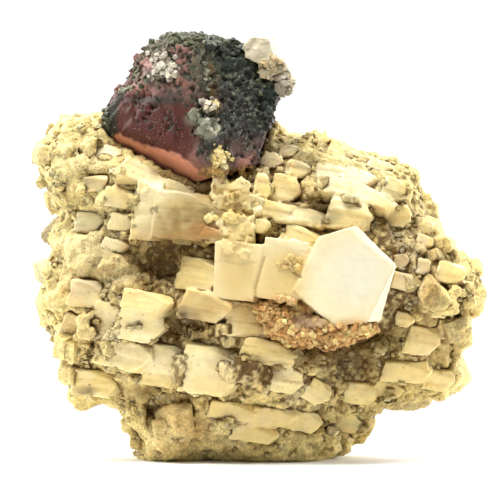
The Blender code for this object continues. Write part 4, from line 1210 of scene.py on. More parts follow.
@dataclass
class LayeredCrystal:
    """A crystal built up of thin growth layers, each a little longer or shorter than the next."""

    block: Block
    place: Matrix
    layer: float = 1.5
    jitter: float = 0.16
    stagger: float = 0.50
    swell: float = 0.10
    bevel: float = 0.05
    worn_edge: tuple = (0.25, -0.65, 0.72)
    cut_corner: tuple = (0.75, -0.25, -0.62)

    def build(self, draw: random.Random) -> Piece:
        """Models the crystal.

        Args:
            draw: The seeded source of its irregularity.

        Returns:
            The crystal at its place.
        """
        block = self.block
        half = Vector((block.length / 2, block.depth / 2, block.height / 2)) + Vector((self.swell,) * 3)
        left, right = (math.radians(angle) for angle in block.slant)
        count = max(2, round(block.height / self.layer))
        levels = [-half.z]
        for step in range(1, count):
            levels.append(-half.z + 2 * half.z * (step + draw.uniform(-0.3, 0.3)) / count)
        levels.append(half.z)
        deselect()
        bpy.ops.mesh.primitive_cube_add(size=2.0)
        made = bpy.context.object
        made.scale = half
        bpy.ops.object.transform_apply(scale=True)
        bpy.ops.object.mode_set(mode="EDIT")
        bpy.ops.mesh.delete(type="VERT")
        for low, high in zip(levels, levels[1:]):
            self.add_layer(half, low, high, (left, right), draw)
        bpy.ops.mesh.reveal(select=True)
        bpy.ops.mesh.normals_make_consistent(inside=False)
        bpy.ops.object.mode_set(mode="OBJECT")
        draw.random()  # passed over, so that the later draws keep their order
        made.data.transform(Matrix.Scale(MM, 4))
        made.data.transform(self.place)
        return made

    def add_layer(self, half: Vector, low: float, high: float, ends: tuple, draw: random.Random) -> None:
        """Adds one growth layer: a slab cut at its slanted ends and bevelled.

        Args:
            half: The crystal's half sizes.
            low: The layer's lower side.
            high: The layer's upper side.
            ends: The slant of its two ends, in radians.
            draw: The seeded source of its irregularity.
        """
        left, right = ends
        out = draw.uniform(-self.jitter, self.jitter)
        short = [draw.uniform(-0.25, 0.12) * self.stagger for _ in range(2)]
        if draw.random() < 0.35:
            short[1] -= self.stagger * draw.uniform(0.5, 1.6)
        middle = (0.0, out, (low + high) / 2)
        size = (1.4 * half.x, half.y, (high - low) / 2 + 0.02)
        bpy.ops.mesh.select_all(action="DESELECT")
        bpy.ops.mesh.primitive_cube_add(size=2.0, location=middle, scale=size)
        for normal, distance in (
            (Vector((-math.cos(left), 0.12, math.sin(left))), half.x + short[0]),
            (Vector((math.cos(right), 0.10, -math.sin(right))), half.x + short[1]),
            (Vector(self.worn_edge), 0.62 * (half.y + half.z) + draw.uniform(-0.1, 0.15)),
            (Vector(self.cut_corner), 0.82 * math.hypot(half.x, half.z)),
        ):
            normal.normalize()
            cut_off(normal * distance, normal)
        bpy.ops.mesh.select_all(action="SELECT")
        bpy.ops.mesh.bevel(offset=self.bevel * draw.uniform(0.6, 1.5), segments=1, affect="EDGES")
        bpy.ops.mesh.select_all(action="SELECT")
        bpy.ops.mesh.hide(unselected=False)


def store_place(piece: Piece, places: np.ndarray) -> None:
    """Stores each vertex's place along its crystal's own axes, which the growth lines follow."""
    layer = piece.data.attributes.new("axis_place", "FLOAT_VECTOR", "POINT")
    layer.data.foreach_set("vector", places.astype(np.float32).ravel())


@dataclass
class GrainMaker:
    """Models a few small crystals and scatters copies of them over a surface."""

    draw: random.Random
    variants: int = 4
    shapes: dict = field(default_factory=dict)

    def __post_init__(self) -> None:
        """Models the shapes that the copies are taken from."""
        for kind in GrainShape:
            self.shapes[kind] = [self.model(kind) for _ in range(self.variants)]

    def model(self, kind: GrainShape) -> tuple:
        """Models one small crystal about the origin, one unit in half height.

        Args:
            kind: Its shape.

        Returns:
            Its vertices and its triangles.
        """
        draw = self.draw
        deselect()
        bpy.ops.mesh.primitive_cube_add(size=2.0)
        made = bpy.context.object
        bpy.ops.object.mode_set(mode="EDIT")
        if kind is GrainShape.CRUMB:
            bpy.ops.mesh.subdivide(number_cuts=1, smoothness=0.9)
            bpy.ops.object.mode_set(mode="OBJECT")
            shift = Vector((draw.random() * 9, 0, 0))
            for vert in made.data.vertices:
                vert.co *= 1.0 + 0.45 * noise.noise(vert.co + shift)
        else:
            bpy.ops.mesh.delete(type="VERT")
            for number in range(1 if kind is GrainShape.BLADE else 3):
                self.add_block(kind, number)
            bpy.ops.mesh.reveal(select=True)
            bpy.ops.mesh.normals_make_consistent(inside=False)
            bpy.ops.object.mode_set(mode="OBJECT")
        pick(made)
        finish_with(made, "TRIANGULATE")
        corners = np.array([vert.co[:] for vert in made.data.vertices])
        faces = np.array([face.vertices[:] for face in made.data.polygons])
        bpy.data.objects.remove(made, do_unlink=True)
        return corners, faces

    def add_block(self, kind: GrainShape, number: int) -> None:
        """Adds one block of a small crystal, cut on three corners.

        Args:
            kind: The crystal's shape.
            number: Which of its blocks this is: the first is the largest.
        """
        draw = self.draw
        longer = {GrainShape.BLOCK: 1.7, GrainShape.CUBE: 1.05, GrainShape.BLADE: 3.0}[kind]
        small = 1.0 if number == 0 else draw.uniform(0.45, 0.7)
        size = Vector((longer * draw.uniform(0.85, 1.2), 1.3, 1.0)) * small
        middle = Vector((0.0, 0.0, 0.0))
        if number:
            side = draw.choice((-1.0, 1.0))
            middle = Vector((side * longer * draw.uniform(0.2, 0.8), -0.5, draw.uniform(-0.8, 0.8)))
        spin = draw.uniform(-0.12, 0.12) if kind is GrainShape.BLOCK else draw.uniform(-0.7, 0.7)
        bpy.ops.mesh.select_all(action="DESELECT")
        bpy.ops.mesh.primitive_cube_add(size=2.0, location=middle, rotation=(0.0, spin, 0.0), scale=size)
        for _ in range(2):
            tilt = (draw.uniform(-0.9, 0.9), draw.uniform(-1.0, -0.2), draw.uniform(-0.8, 0.9))
            normal = Vector(tilt).normalized()
            reach = abs(normal.x) * size.x + abs(normal.y) * size.y + abs(normal.z) * size.z
            cut_off(middle + normal * reach * draw.uniform(0.66, 0.84), normal)
        bpy.ops.mesh.select_all(action="SELECT")
        bpy.ops.mesh.hide(unselected=False)

    def scatter(self, name: str, seats: list) -> tuple:
        """Sets a copy of a small crystal on each seat.

        Args:
            name: The joined piece's name.
            seats: For each copy its shape, place, turn and half height, in millimetres.

        Returns:
            The joined piece, and for each of its vertices the number of its seat.
        """
        corners, faces, places, owners = [], [], [], []
        count = 0
        for index, (kind, middle, turn, size) in enumerate(seats):
            shape, triangles = self.shapes[kind][index % self.variants]
            own = shape * size
            corners.append(own @ np.array(turn.to_3x3()).T + np.array(middle))
            places.append(own + index * 1.7)
            owners.append(np.full(len(shape), index))
            faces.append(triangles + count)
            count += len(shape)
        mesh = bpy.data.meshes.new(name)
        mesh.from_pydata((np.concatenate(corners) + STAND) * MM, [], np.concatenate(faces).tolist())
        mesh.update()
        made = bpy.data.objects.new(name, mesh)
        bpy.context.scene.collection.objects.link(made)
        store_place(made, np.concatenate(places))
        return made, np.concatenate(owners)


class SeatFinder:
    """Draws places for small crystals, evenly over a surface."""

    def __init__(self, piece: Piece, draw: random.Random) -> None:
        """Measures the surface.

        Args:
            piece: The surface to stand on.
            draw: The seeded source of places.
        """
        self.draw = draw
        mesh = piece.data
        mesh.calc_loop_triangles()
        corners = vertex_table(piece)
        triangles = np.array([triangle.vertices[:] for triangle in mesh.loop_triangles])
        self.corners = corners[triangles]
        sides = np.cross(
            self.corners[:, 1] - self.corners[:, 0], self.corners[:, 2] - self.corners[:, 0]
        )
        self.areas = 0.5 * np.linalg.norm(sides, axis=1)
        self.normals = sides / np.maximum(2.0 * self.areas[:, None], 1e-12)
        self.total = np.cumsum(self.areas)

    def next(self) -> tuple[np.ndarray, np.ndarray]:
        """Draws one place on the surface.

        Returns:
            The place and the surface's normal there.
        """
        draw = self.draw
        index = int(np.searchsorted(self.total, draw.random() * self.total[-1]))
        index = min(index, len(self.total) - 1)
        first, second = draw.random(), draw.random()
        if first + second > 1.0:
            first, second = 1.0 - first, 1.0 - second
        a, b, c = self.corners[index]
        return a + first * (b - a) + second * (c - a), self.normals[index]


def facing(normal: np.ndarray, roll: float) -> Matrix:
    """Turns a crystal so that its front faces along a normal.

    Args:
        normal: The way to face.
        roll: A turn about that normal, in radians.

    Returns:
        The turn.
    """
    out = Vector(normal).normalized()
    up = Vector((0.0, 0.0, 1.0))
    side = up.cross(out)
    if side.length < 0.05:
        side = Vector((1.0, 0.0, 0.0))
    side.normalize()
    back = -out
    tall = side.cross(back).normalized()
    frame_turn = Matrix((side, back, tall)).transposed().to_4x4()
    return frame_turn @ Matrix.Rotation(roll, 4, "Y")


def roughened(piece: Piece, steps: tuple, group: str = "") -> None:
    """Presses seeded relief into a finely divided piece.

    Args:
        piece: The piece to roughen.
        steps: For each layer of relief its pattern, size and depth in millimetres.
        group: The vertex group that keeps the relief to a part of the piece.
    """
    for index, (pattern, size, depth) in enumerate(steps):
        texture = bpy.data.textures.new(f"{piece.name}_relief_{index}", pattern)
        texture.noise_scale = size * MM
        finish_with(
            piece,
            "DISPLACE",
            texture=texture,
            texture_coords="LOCAL",
            strength=depth * MM,
            mid_level=0.5,
            vertex_group=group,
        )
        bpy.data.textures.remove(texture)


def remeshed(piece: Piece, pitch: float) -> None:
    """Divides a closed piece evenly and draws it back onto the faces that it had.

    Args:
        piece: The piece to divide.
        pitch: The length of an edge, in millimetres.
    """
    former = duplicate(piece)
    finish_with(piece, "REMESH", mode="VOXEL", voxel_size=pitch * MM, use_smooth_shade=True)
    finish_with(piece, "SHRINKWRAP", target=former, wrap_method="NEAREST_SURFACEPOINT")
    bpy.data.objects.remove(former, do_unlink=True)


@dataclass
class Dresser:
    """Paints the pieces that stand for one frame node and gives them their finish."""

    node: str
    colouring: Colouring
    material: bpy.types.Material

    def dress(
        self, piece: Piece, stain_and_shade: float, owners: np.ndarray | None = None, shades: list | None = None,
        grime: float = 0.0,
    ) -> None:
        """Args:
            piece: The piece to dress.
            stain_and_shade: How strongly its sheltered parts are darkened, partly stain and partly painted
                shade.
            owners: For each vertex the number of its small crystal, where it has one.
            shades: For each small crystal its own tone and how much of it shows.
            grime: How strongly the middle of the show side is clouded brown.
        """
        self.hold(piece)
        points = vertex_table(piece)
        if "axis_place" not in piece.data.attributes:
            store_place(piece, points)
        colours = self.colouring.at(points, vertex_normals(piece), stain_and_shade, grime)
        if shades is not None:
            tones = np.array([tone.value for tone, _ in shades])[owners]
            share = np.array([share for _, share in shades])[owners][:, None]
            colours = colours * (1.0 - share) + tones * share
        if owners is not None:
            light = np.random.default_rng(SEED).normal(1.0, 0.10, owners.max() + 1)
            colours = colours * light[owners][:, None]
        paint(piece, "tint", colours)
        piece.data.materials.clear()
        piece.data.materials.append(self.material)
        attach(piece, "root")
        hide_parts(self.node)

    @staticmethod
    def hold(piece: Piece, spare: float = 1.2) -> None:
        """Keeps a piece on the floor and within the part's own box, a little spare aside.

        Args:
            piece: The piece to hold.
            spare: How far it may stand out of the box, in millimetres.
        """
        low, high = (np.array(corner) / MM - STAND for corner in CAD_BOX)
        low, high = low - spare, high + spare
        low[2] = 0.0
        set_vertices(piece, np.clip(vertex_table(piece), low, high))


class Neighbours:
    """Tells how near a place is to the pieces that aren't the one being modelled."""

    def __init__(self, nodes: tuple) -> None:
        """Collects the surfaces of the frame nodes to keep clear of."""
        self.tree = surface_of([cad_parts[node] for node in nodes])

    def distance(self, point: np.ndarray) -> float:
        """How far outside the nearest neighbour a place lies.

        Args:
            point: The place in millimetres.

        Returns:
            The distance in millimetres, negative inside a neighbour.
        """
        world = Vector(point) + Vector((0.0, STAND_BACK, 0.0))
        spot, normal, _, away = self.tree.find_nearest(world * MM)
        side = (world * MM - spot).dot(normal)
        return math.copysign(away, side) / MM


@dataclass
class CrystalGroup:
    """A group of named feldspar crystals grown into each other, with soft, chipped edges."""

    name: str
    blocks: list
    form: RockForm
    voxel: float = 0.38
    chip: float = 0.35

    def build(self, draw: random.Random) -> tuple:
        """Models the group.

        Args:
            draw: The seeded source of irregularity.

        Returns:
            The joined crystals, and each one's inverse place and half sizes.
        """
        pieces, boxes = [], []
        for block in self.blocks:
            place = self.form.block_place(block)
            pieces.append(LayeredCrystal(block, place).build(draw))
            half = np.array((block.length, block.depth, block.height)) / 2
            boxes.append((np.array(place.inverted()), half))
        joined = join(pieces, self.name)
        remeshed(joined, self.voxel)
        self.weather(joined, boxes)
        return joined, boxes

    def weather(self, piece: Piece, boxes: list) -> None:
        """Presses growth lines and chips into the crystals and stores their own axes.

        Args:
            piece: The joined crystals.
            boxes: Each crystal's inverse place and half sizes.
        """
        points = vertex_table(piece)
        nearest = np.full(len(points), 1e9)
        along = np.zeros_like(points)
        edge = np.zeros(len(points))
        for number, (inverse, half) in enumerate(boxes):
            own = own_axes(points, inverse)
            over = np.abs(own) - half
            away = np.abs(np.max(over, axis=1))
            closer = away < nearest
            nearest = np.where(closer, away, nearest)
            along = np.where(closer[:, None], own + 7.3 * number, along)
            second = np.sort(over, axis=1)[:, 1]
            edge = np.where(closer, np.clip(1.0 + second / 0.8, 0.0, 1.0), edge)
        lines = mottling(along * np.array((0.12, 0.5, 1.0)), 0.75, 4.0)
        wide = mottling(points, 2.6, 9.0)
        chips = np.clip(mottling(points, 1.1, 12.0) * 2.4 - 0.15, 0.0, 1.0)
        relief = 0.08 * lines + 0.12 * wide - self.chip * chips * edge
        press(piece, points, relief)
        store_place(piece, along)


def own_axes(points: np.ndarray, inverse: np.ndarray) -> np.ndarray:
    """Places along a crystal's own axes, in millimetres, by its inverse place."""
    world = (points + STAND) * MM
    return (world @ inverse[:3, :3].T + inverse[:3, 3]) / MM


@dataclass
class FeldsparMatrix:
    """The mass of feldspar crystals that everything else stands on."""

    dresser: Dresser
    form: RockForm = field(default_factory=RockForm)
    voxel: float = 0.75
    fused: float = 0.53
    front_grains: int = 4200
    crisp: tuple = (1100, 3000)
    back_grains: int = 2000
    back_crisp: int = 500
    group_ends: tuple = (46.0, 27.0, -10.0)
    druse_ends: float = 8.0
    aligned: tuple = (9.0, 10.0, 8.0)
    loose: tuple = (50.0, 40.0, 30.0)
    druse_finish: StoneFinish = StoneFinish(
        "fine_druse", roughness=0.55, glow=0.20, striation=0.10, grain=0.6, speck=Tone.UMBER, specks=0.7,
        speck_scale=900.0, sugar=0.8, sheen=0.15
    )

    def build(self) -> list[Piece]:
        """Models the rock, its named crystals and its crust of small crystals.

        Returns:
            The pieces, dressed.
        """
        draw = random.Random(SEED)
        groups, boxes = self.build_groups(draw)
        rock = self.build_rock(boxes)
        maker = GrainMaker(draw)
        clear = Neighbours(("pink_fluorite", "white_feldspar_plates", "rusty_crust", "perched_quartz"))
        finder = SeatFinder(rock, draw)
        seats = sorted(self.front_seats(finder, clear, boxes, draw), key=lambda seat: seat[3])
        low, high = self.crisp
        druse = self.fuse(rock, maker.scatter("grains", seats[:low] + seats[high:])[0])
        front = maker.scatter("matrix_small_crystals", seats[low:high])
        seats = self.back_seats(finder, clear, draw)
        back = maker.scatter("matrix_back_crystals", seats[:self.back_crisp])
        rock = join([rock, maker.scatter("grains", seats[self.back_crisp:])[0]], "matrix_rock")
        finish_with(rock, "REMESH", mode="VOXEL", voxel_size=self.voxel * MM, use_smooth_shade=True)
        roughened(rock, (("CLOUDS", 1.8, 0.5), ("VORONOI", 1.3, -0.5)))
        for piece in (rock, druse):
            self.sink_under(piece, boxes)
        others = [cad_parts[name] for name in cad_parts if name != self.dresser.node]
        self.dresser.colouring.shelter = Shelter([rock, druse, front[0], back[0], *groups, *others])
        for group in groups:
            self.dresser.dress(group, 0.65)
        self.dresser.material = self.druse_finish.make()
        self.dresser.dress(rock, 1.0, grime=1.0)
        self.dresser.dress(druse, 1.15, grime=1.15)
        for piece, owners in (front, back):
            self.dresser.dress(piece, 1.0, owners, self.grain_shades(owners, draw), 0.75)
        return [rock, druse, front[0], back[0], *groups]

    def build_groups(self, draw: random.Random) -> tuple:
        """Models the named crystals, in groups from the top down.

        Args:
            draw: The seeded source of irregularity.

        Returns:
            The groups, and each crystal's inverse place and half sizes.
        """
        groups, boxes = [], []
        high = math.inf
        for number, low in enumerate(self.group_ends):
            blocks = [block for block in BLOCKS if low <= block.z < high]
            group, own = CrystalGroup(f"matrix_crystals_{number}", blocks, self.form).build(draw)
            groups.append(group)
            boxes += own
            high = low
        return groups, boxes

    def fuse(self, rock: Piece, grains: Piece) -> Piece:
        """Grows small crystals together with the front of the rock under them.

        Args:
            rock: The rock, whose own front is drawn in under the fused one.
            grains: The small crystals; they become part of the fused piece.

        Returns:
            The fused druse of the show side.
        """
        front = duplicate(rock)
        pick(front)
        bpy.ops.object.mode_set(mode="EDIT")
        cut_off(Vector((0.0, (self.druse_ends + STAND_BACK) * MM, 0.0)), Vector((0.0, 1.0, 0.0)))
        bpy.ops.object.mode_set(mode="OBJECT")
        druse = join([front, grains], "matrix_druse")
        finish_with(druse, "REMESH", mode="VOXEL", voxel_size=self.fused * MM, use_smooth_shade=True)
        roughened(druse, (("CLOUDS", 1.3, 0.4), ("VORONOI", 1.0, -0.5), ("CLOUDS", 0.5, 0.3)))
        points = vertex_table(rock)
        inward = np.clip((7.0 - points[:, 1]) / 3.0, 0.0, 1.0)
        draw_in = np.array((0.0, 1.1, 0.0)) - 0.2 * vertex_normals(rock)
        set_vertices(rock, points + draw_in * inward[:, None])
        return druse

    @staticmethod
    def sink_under(piece: Piece, boxes: list, sunk: float = 0.35, most: float = 3.0) -> None:
        """Draws a piece back where it would break through the face of a named crystal.

        Args:
            piece: The piece that lies under the crystals.
            boxes: Each named crystal's inverse place and half sizes.
            sunk: How far under a crystal's face it has to stay, in millimetres.
            most: The most that it is drawn back, in millimetres.
        """
        points = vertex_table(piece)
        shift = np.zeros(len(points))
        for inverse, half in boxes:
            own = own_axes(points, inverse)
            beside = np.max(np.abs(own[:, (0, 2)]) - half[[0, 2]], axis=1)
            rise = sunk - half[1] - own[:, 1]
            under = (beside < -0.25) & (rise > 0.0) & (rise < most)
            shift = np.where(under, np.maximum(shift, rise), shift)
        points[:, 1] += shift
        set_vertices(piece, points)

    @staticmethod
    def grain_shades(owners: np.ndarray, draw: random.Random) -> list:
        """Gives some of the small crystals a tone of their own.

        Args:
            owners: For each vertex the number of its small crystal.
            draw: The seeded source of irregularity.

        Returns:
            For each small crystal its tone and how much of it shows.
        """
        tones = (Tone.PALE, Tone.STRAW, Tone.CREAM, Tone.LILAC, Tone.TAN, Tone.BRONZE)
        weights = (3.0, 4.0, 3.0, 0.8, 1.6, 1.0)
        picked = draw.choices(tones, weights, k=int(owners.max()) + 1)
        return [(tone, draw.uniform(0.0, 0.5)) for tone in picked]

    def build_rock(self, boxes: list) -> Piece:
        """Models the broken rock, drawn back under the named crystals.

        Args:
            boxes: Each named crystal's inverse place and half sizes.

        Returns:
            The rock.
        """
        rock = merged_copy(self.dresser.node, "matrix_rock")
        remeshed(rock, self.voxel)
        points = vertex_table(rock)
        normals = vertex_normals(rock)
        covered = np.zeros(len(points))
        for inverse, half in boxes:
            own = own_axes(points, inverse)
            over = np.max(np.abs(own) - half, axis=1)
            covered = np.maximum(covered, np.clip(1.0 - over / 0.6, 0.0, 1.0))
        back = np.array((0.0, 0.55, 0.0))
        set_vertices(rock, points + (back - 0.4 * normals) * covered[:, None])
        bare = rock.vertex_groups.new(name="bare")
        for index in np.flatnonzero(covered < 0.5):
            bare.add([int(index)], 1.0, "REPLACE")
        steps = (("CLOUDS", 4.0, 1.0), ("VORONOI", 1.5, -1.2), ("CLOUDS", 0.8, 0.5))
        roughened(rock, steps, "bare")
        return rock

    def field_at(self, x: float, z: float) -> GrainField:
        """Finds the grain field of a place of the front view.

        Args:
            x: The place's X.
            z: The place's Z.

        Returns:
            Its field, or the open one.
        """
        for own in FIELDS:
            if ((x - own.x) / own.across) ** 2 + ((z - own.z) / own.up) ** 2 < 1.0:
                return own
        return OPEN_FIELD

    def front_seats(self, finder: SeatFinder, clear: Neighbours, boxes: list, draw: random.Random) -> list:
        """Chooses where the small crystals of the show side stand.

        Args:
            finder: Draws places on the rock.
            clear: The pieces to keep clear of.
            boxes: Each named crystal's inverse place and half sizes.
            draw: The seeded source of irregularity.

        Returns:
            The seats.
        """
        seats = []
        while len(seats) < self.front_grains:
            point, normal = finder.next()
            if normal[1] > 0.3 or point[1] > 6.0 or point[2] < 1.2:
                continue
            own = self.field_at(point[0], point[2])
            size = own.smallest + (own.largest - own.smallest) * draw.random() ** 2.0
            size *= draw.uniform(0.6, 1.0)
            size *= 1.0 - 0.5 * max(0.0, self.form.reach(point[0], point[2]) - 0.85) / 0.15
            if size < 0.2 or within(FLUORITE_EDGE, point[0], point[2]):
                continue
            if self.on_crystal(point, boxes, 0.2 + 0.6 * size) and (size > 0.5 or draw.random() < 0.96):
                continue
            if clear.distance(point) < 0.9 * size + 0.2:
                continue
            kind = draw.choice(own.shapes)
            spreads = self.aligned if draw.random() < own.aligned else self.loose
            spread, lean, tip = spreads[0], draw.gauss(0.0, spreads[1]), draw.gauss(0.0, spreads[2])
            around = turned(10.0 + draw.gauss(0.0, spread), lean, tip)
            turn = self.form.slope_turn(point[0], point[2], 0.4) @ around
            seats.append((kind, point - normal * draw.uniform(-0.2, 0.4) * size, turn, size))
        return seats

    def on_crystal(self, point: np.ndarray, boxes: list, margin: float) -> bool:
        """Whether a place lies on a named crystal.

        Args:
            point: The place.
            boxes: Each named crystal's inverse place and half sizes.
            margin: How far around a crystal counts as on it.

        Returns:
            True where a named crystal covers it.
        """
        turns = np.array([inverse for inverse, _ in boxes])
        halves = np.array([half for _, half in boxes])
        world = (point + STAND) * MM
        own = (turns[:, :3, :3] @ world + turns[:, :3, 3]) / MM
        return bool(np.any(np.max(np.abs(own) - halves, axis=1) < margin))

    def back_seats(self, finder: SeatFinder, clear: Neighbours, draw: random.Random) -> list:
        """Chooses where the small crystals of the sides and the back stand.

        Args:
            finder: Draws places on the rock.
            clear: The pieces to keep clear of.
            draw: The seeded source of irregularity.

        Returns:
            The seats.
        """
        seats = []
        while len(seats) < self.back_grains:
            point, normal = finder.next()
            if normal[1] < -0.2 or point[2] < 1.4:
                continue
            large = draw.random() < 0.05
            size = draw.uniform(1.5, 2.4) if large else 0.35 + 0.85 * draw.random() ** 1.6
            if clear.distance(point) < 0.9 * size + 0.2:
                continue
            kind = GrainShape.BLOCK if large else draw.choice((GrainShape.BLOCK, GrainShape.CUBE))
            turn = facing(normal, draw.gauss(0.17, 0.15 if large else 0.5))
            turn = turn @ Matrix.Rotation(draw.gauss(0.0, 0.25), 4, "Z")
            seats.append((kind, point - normal * (0.5 if large else 0.1) * size, turn, size))
        return seats


class ShowSide:
    """Finds a piece's surface under a place of the front view."""

    def __init__(self, piece: Piece) -> None:
        """Collects the surface of the piece to look at."""
        self.tree = surface_of([piece])

    def at(self, x: float, z: float) -> tuple | None:
        """Finds the surface under a place of the front view.

        Args:
            x: The place's X.
            z: The place's Z.

        Returns:
            The surface's place and normal, or None where there is none.
        """
        start = Vector((x * MM, -0.2, z * MM))
        spot, normal, _, _ = self.tree.ray_cast(start, Vector((0.0, 1.0, 0.0)))
        if spot is None:
            return None
        return np.array(spot) / MM - STAND, np.array(normal)

    def seats(self, clusters: tuple, draw: random.Random) -> tuple:
        """Seats for the crystals of each cluster, and each crystal's tone.

        Args:
            clusters: The groups to seat.
            draw: The seeded source of irregularity.

        Returns:
            The seats, and for each one its tone and how much of it shows.
        """
        seats, shades = [], []
        for group in clusters:
            for _ in range(group.count):
                x = group.x + draw.gauss(0.0, 0.5) * group.across
                z = group.z + draw.gauss(0.0, 0.5) * group.up
                found = self.at(x, z)
                if found is None:
                    continue
                point, normal = found
                size = draw.uniform(group.smallest, group.largest)
                turn = facing(normal, math.radians(draw.gauss(-group.turn, group.scatter)))
                turn = turn @ Matrix.Rotation(draw.gauss(0.0, 0.4), 4, "X")
                seats.append((group.shape, point + normal * 0.1 * size, turn, size))
                shades.append((group.tone, draw.uniform(0.65, 0.95)))
        return seats, shades


def skin_seats(
    finder: SeatFinder, count: int, sizes: tuple, tones: tuple, keep: Callable, draw: random.Random
) -> tuple:
    """Seats for a thin skin of tiny crystals all over a piece.

    Args:
        finder: Draws places on the piece.
        count: How many to seat.
        sizes: The smallest and the largest half height.
        tones: The tones to draw from.
        keep: Tells whether a place and its normal take a crystal.
        draw: The seeded source of irregularity.

    Returns:
        The seats, and for each one its tone and how much of it shows.
    """
    seats, shades = [], []
    while len(seats) < count:
        point, normal = finder.next()
        if not keep(point, normal):
            continue
        size = draw.uniform(*sizes)
        turn = facing(normal, draw.uniform(-1.5, 1.5)) @ Matrix.Rotation(draw.gauss(0.0, 0.5), 4, "X")
        kind = draw.choice((GrainShape.CUBE, GrainShape.BLOCK))
        seats.append((kind, point, turn, size))
        shades.append((draw.choice(tones), draw.uniform(0.5, 0.95)))
    return seats, shades


@dataclass
class Fluorite:
    """The stepped octahedron of pink fluorite with its skin of dark green grains."""

    dresser: Dresser
    voxel: float = 0.28
    skin: int = 2600
    skin_sizes: tuple = (0.14, 0.42)
    pit: Hollow = Hollow(-10.6, 71.0, 1.5, 1.9, 1.8)
    step_start: tuple = (-30.0, 66.4)
    step_fall: float = 0.27
    step_sides: tuple = (-27.0, -14.4)
    step_top: float = 76.0

    def build(self) -> list[Piece]:
        """Models the crystal, its small companions and its skin.

        Returns:
            The pieces, dressed.
        """
        draw = random.Random(SEED + 1)
        crystal = merged_copy(self.dresser.node, "fluorite_crystal")
        maker = GrainMaker(draw)
        finder = SeatFinder(crystal, draw)
        skin = skin_seats(finder, self.skin, self.skin_sizes, (Tone.MOSS,), self.takes_skin, draw)[0]
        crystal = join([crystal, maker.scatter("grains", skin)[0]], "fluorite_crystal")
        remeshed(crystal, self.voxel)
        self.ease_step(crystal)
        self.press_steps(crystal)
        seats, shades = ShowSide(crystal).seats(FLUORITE_CLUSTERS, draw)
        group, owners = maker.scatter("fluorite_companions", seats)
        self.dresser.colouring.shelter = Shelter([crystal, group], 2.0)
        self.dresser.dress(crystal, 0.6)
        self.dark_skin(crystal)
        self.dresser.dress(group, 0.3, owners, shades)
        return [crystal, group]

    def ease_step(self, crystal: Piece) -> None:
        """Softens the growth steps that run down the big face.

        Args:
            crystal: The finely divided crystal.
        """
        x, y, z = vertex_table(crystal).T
        eased = crystal.vertex_groups.new(name="eased")
        start_x, start_z = self.step_start
        left, right = self.step_sides
        above = z - start_z + self.step_fall * (x - start_x) > 0.0
        near = (x > left) & (x < right) & above & (z < self.step_top)
        for index in np.flatnonzero(near & (y < 4.0)):
            eased.add([int(index)], 1.0, "REPLACE")
        finish_with(crystal, "SMOOTH", vertex_group="eased", factor=0.6, iterations=40)

    @staticmethod
    def skin_share(points: np.ndarray, normals: np.ndarray) -> np.ndarray:
        """How much dark skin grows at each place: patchy, and thick towards the top and the right.

        Args:
            points: Places in millimetres.
            normals: The surface's normals there.

        Returns:
            0 for clean fluorite to 1 for a full skin.
        """
        patch = 0.8 * mottling(points, 2.4, 4.0) + 0.8 * mottling(points, 0.9, 7.0)
        lean = 0.25 * normals[:, 2] + 0.022 * (points[:, 0] + 14.0) + 0.035 * (points[:, 2] - 74.0)
        back = 0.3 * (normals[:, 1] > 0.2)
        return np.clip((patch + lean + back) * 2.2 + 0.25, 0.0, 1.0)

    def takes_skin(self, point: np.ndarray, normal: np.ndarray) -> bool:
        """Whether a grain of the skin stands at a place."""
        return self.skin_share(point[None, :], normal[None, :])[0] > 0.55

    def dark_skin(self, crystal: Piece) -> None:
        """Darkens the crystal where its skin grows.

        Args:
            crystal: The painted crystal.
        """
        points = vertex_table(crystal)
        share = self.skin_share(points, vertex_normals(crystal))
        layer = crystal.data.color_attributes["tint"]
        colours = np.empty(len(points) * 4, dtype=np.float32)
        layer.data.foreach_get("color", colours)
        colours = colours.reshape(-1, 4)
        grains = mottling(points, 0.5, 5.0)
        flecks = mottling(points, 0.8, 11.0)
        full = blend(colours[:, :3], Tone.GREEN_BLACK, 0.95 * share * (0.85 + 0.6 * grains))
        full = blend(full, Tone.LEAF, share * np.clip(grains * 2.2 - 0.1, 0.0, 0.8))
        full = blend(full, Tone.SAGE, share * np.clip(flecks * 3.0 - 0.9, 0.0, 0.5))
        colours[:, :3] = full
        layer.data.foreach_set("color", colours.ravel())

    def press_steps(self, crystal: Piece) -> None:
        """Presses low growth steps, rough skin and fine pits into the crystal's faces.

        Args:
            crystal: The finely divided crystal.
        """
        points = vertex_table(crystal)
        share = self.skin_share(points, vertex_normals(crystal))
        wide = mottling(points, 3.4, 2.0)
        narrow = mottling(points, 1.1, 8.0)
        fine = mottling(points, 0.5, 3.0)
        terraces = np.floor(wide * 4.0 + 0.3 * narrow) / 4.0
        relief = (0.14 + 0.5 * share) * terraces + (0.05 + 0.35 * share) * narrow
        relief += (0.16 * fine - 0.55) * share
        x, y, z = points.T
        pit = np.exp(-(((x - self.pit.x) / self.pit.across) ** 2) - ((z - self.pit.z) / self.pit.up) ** 2)
        relief -= self.pit.depth * pit * (y < 0.0)
        press(crystal, points, relief)


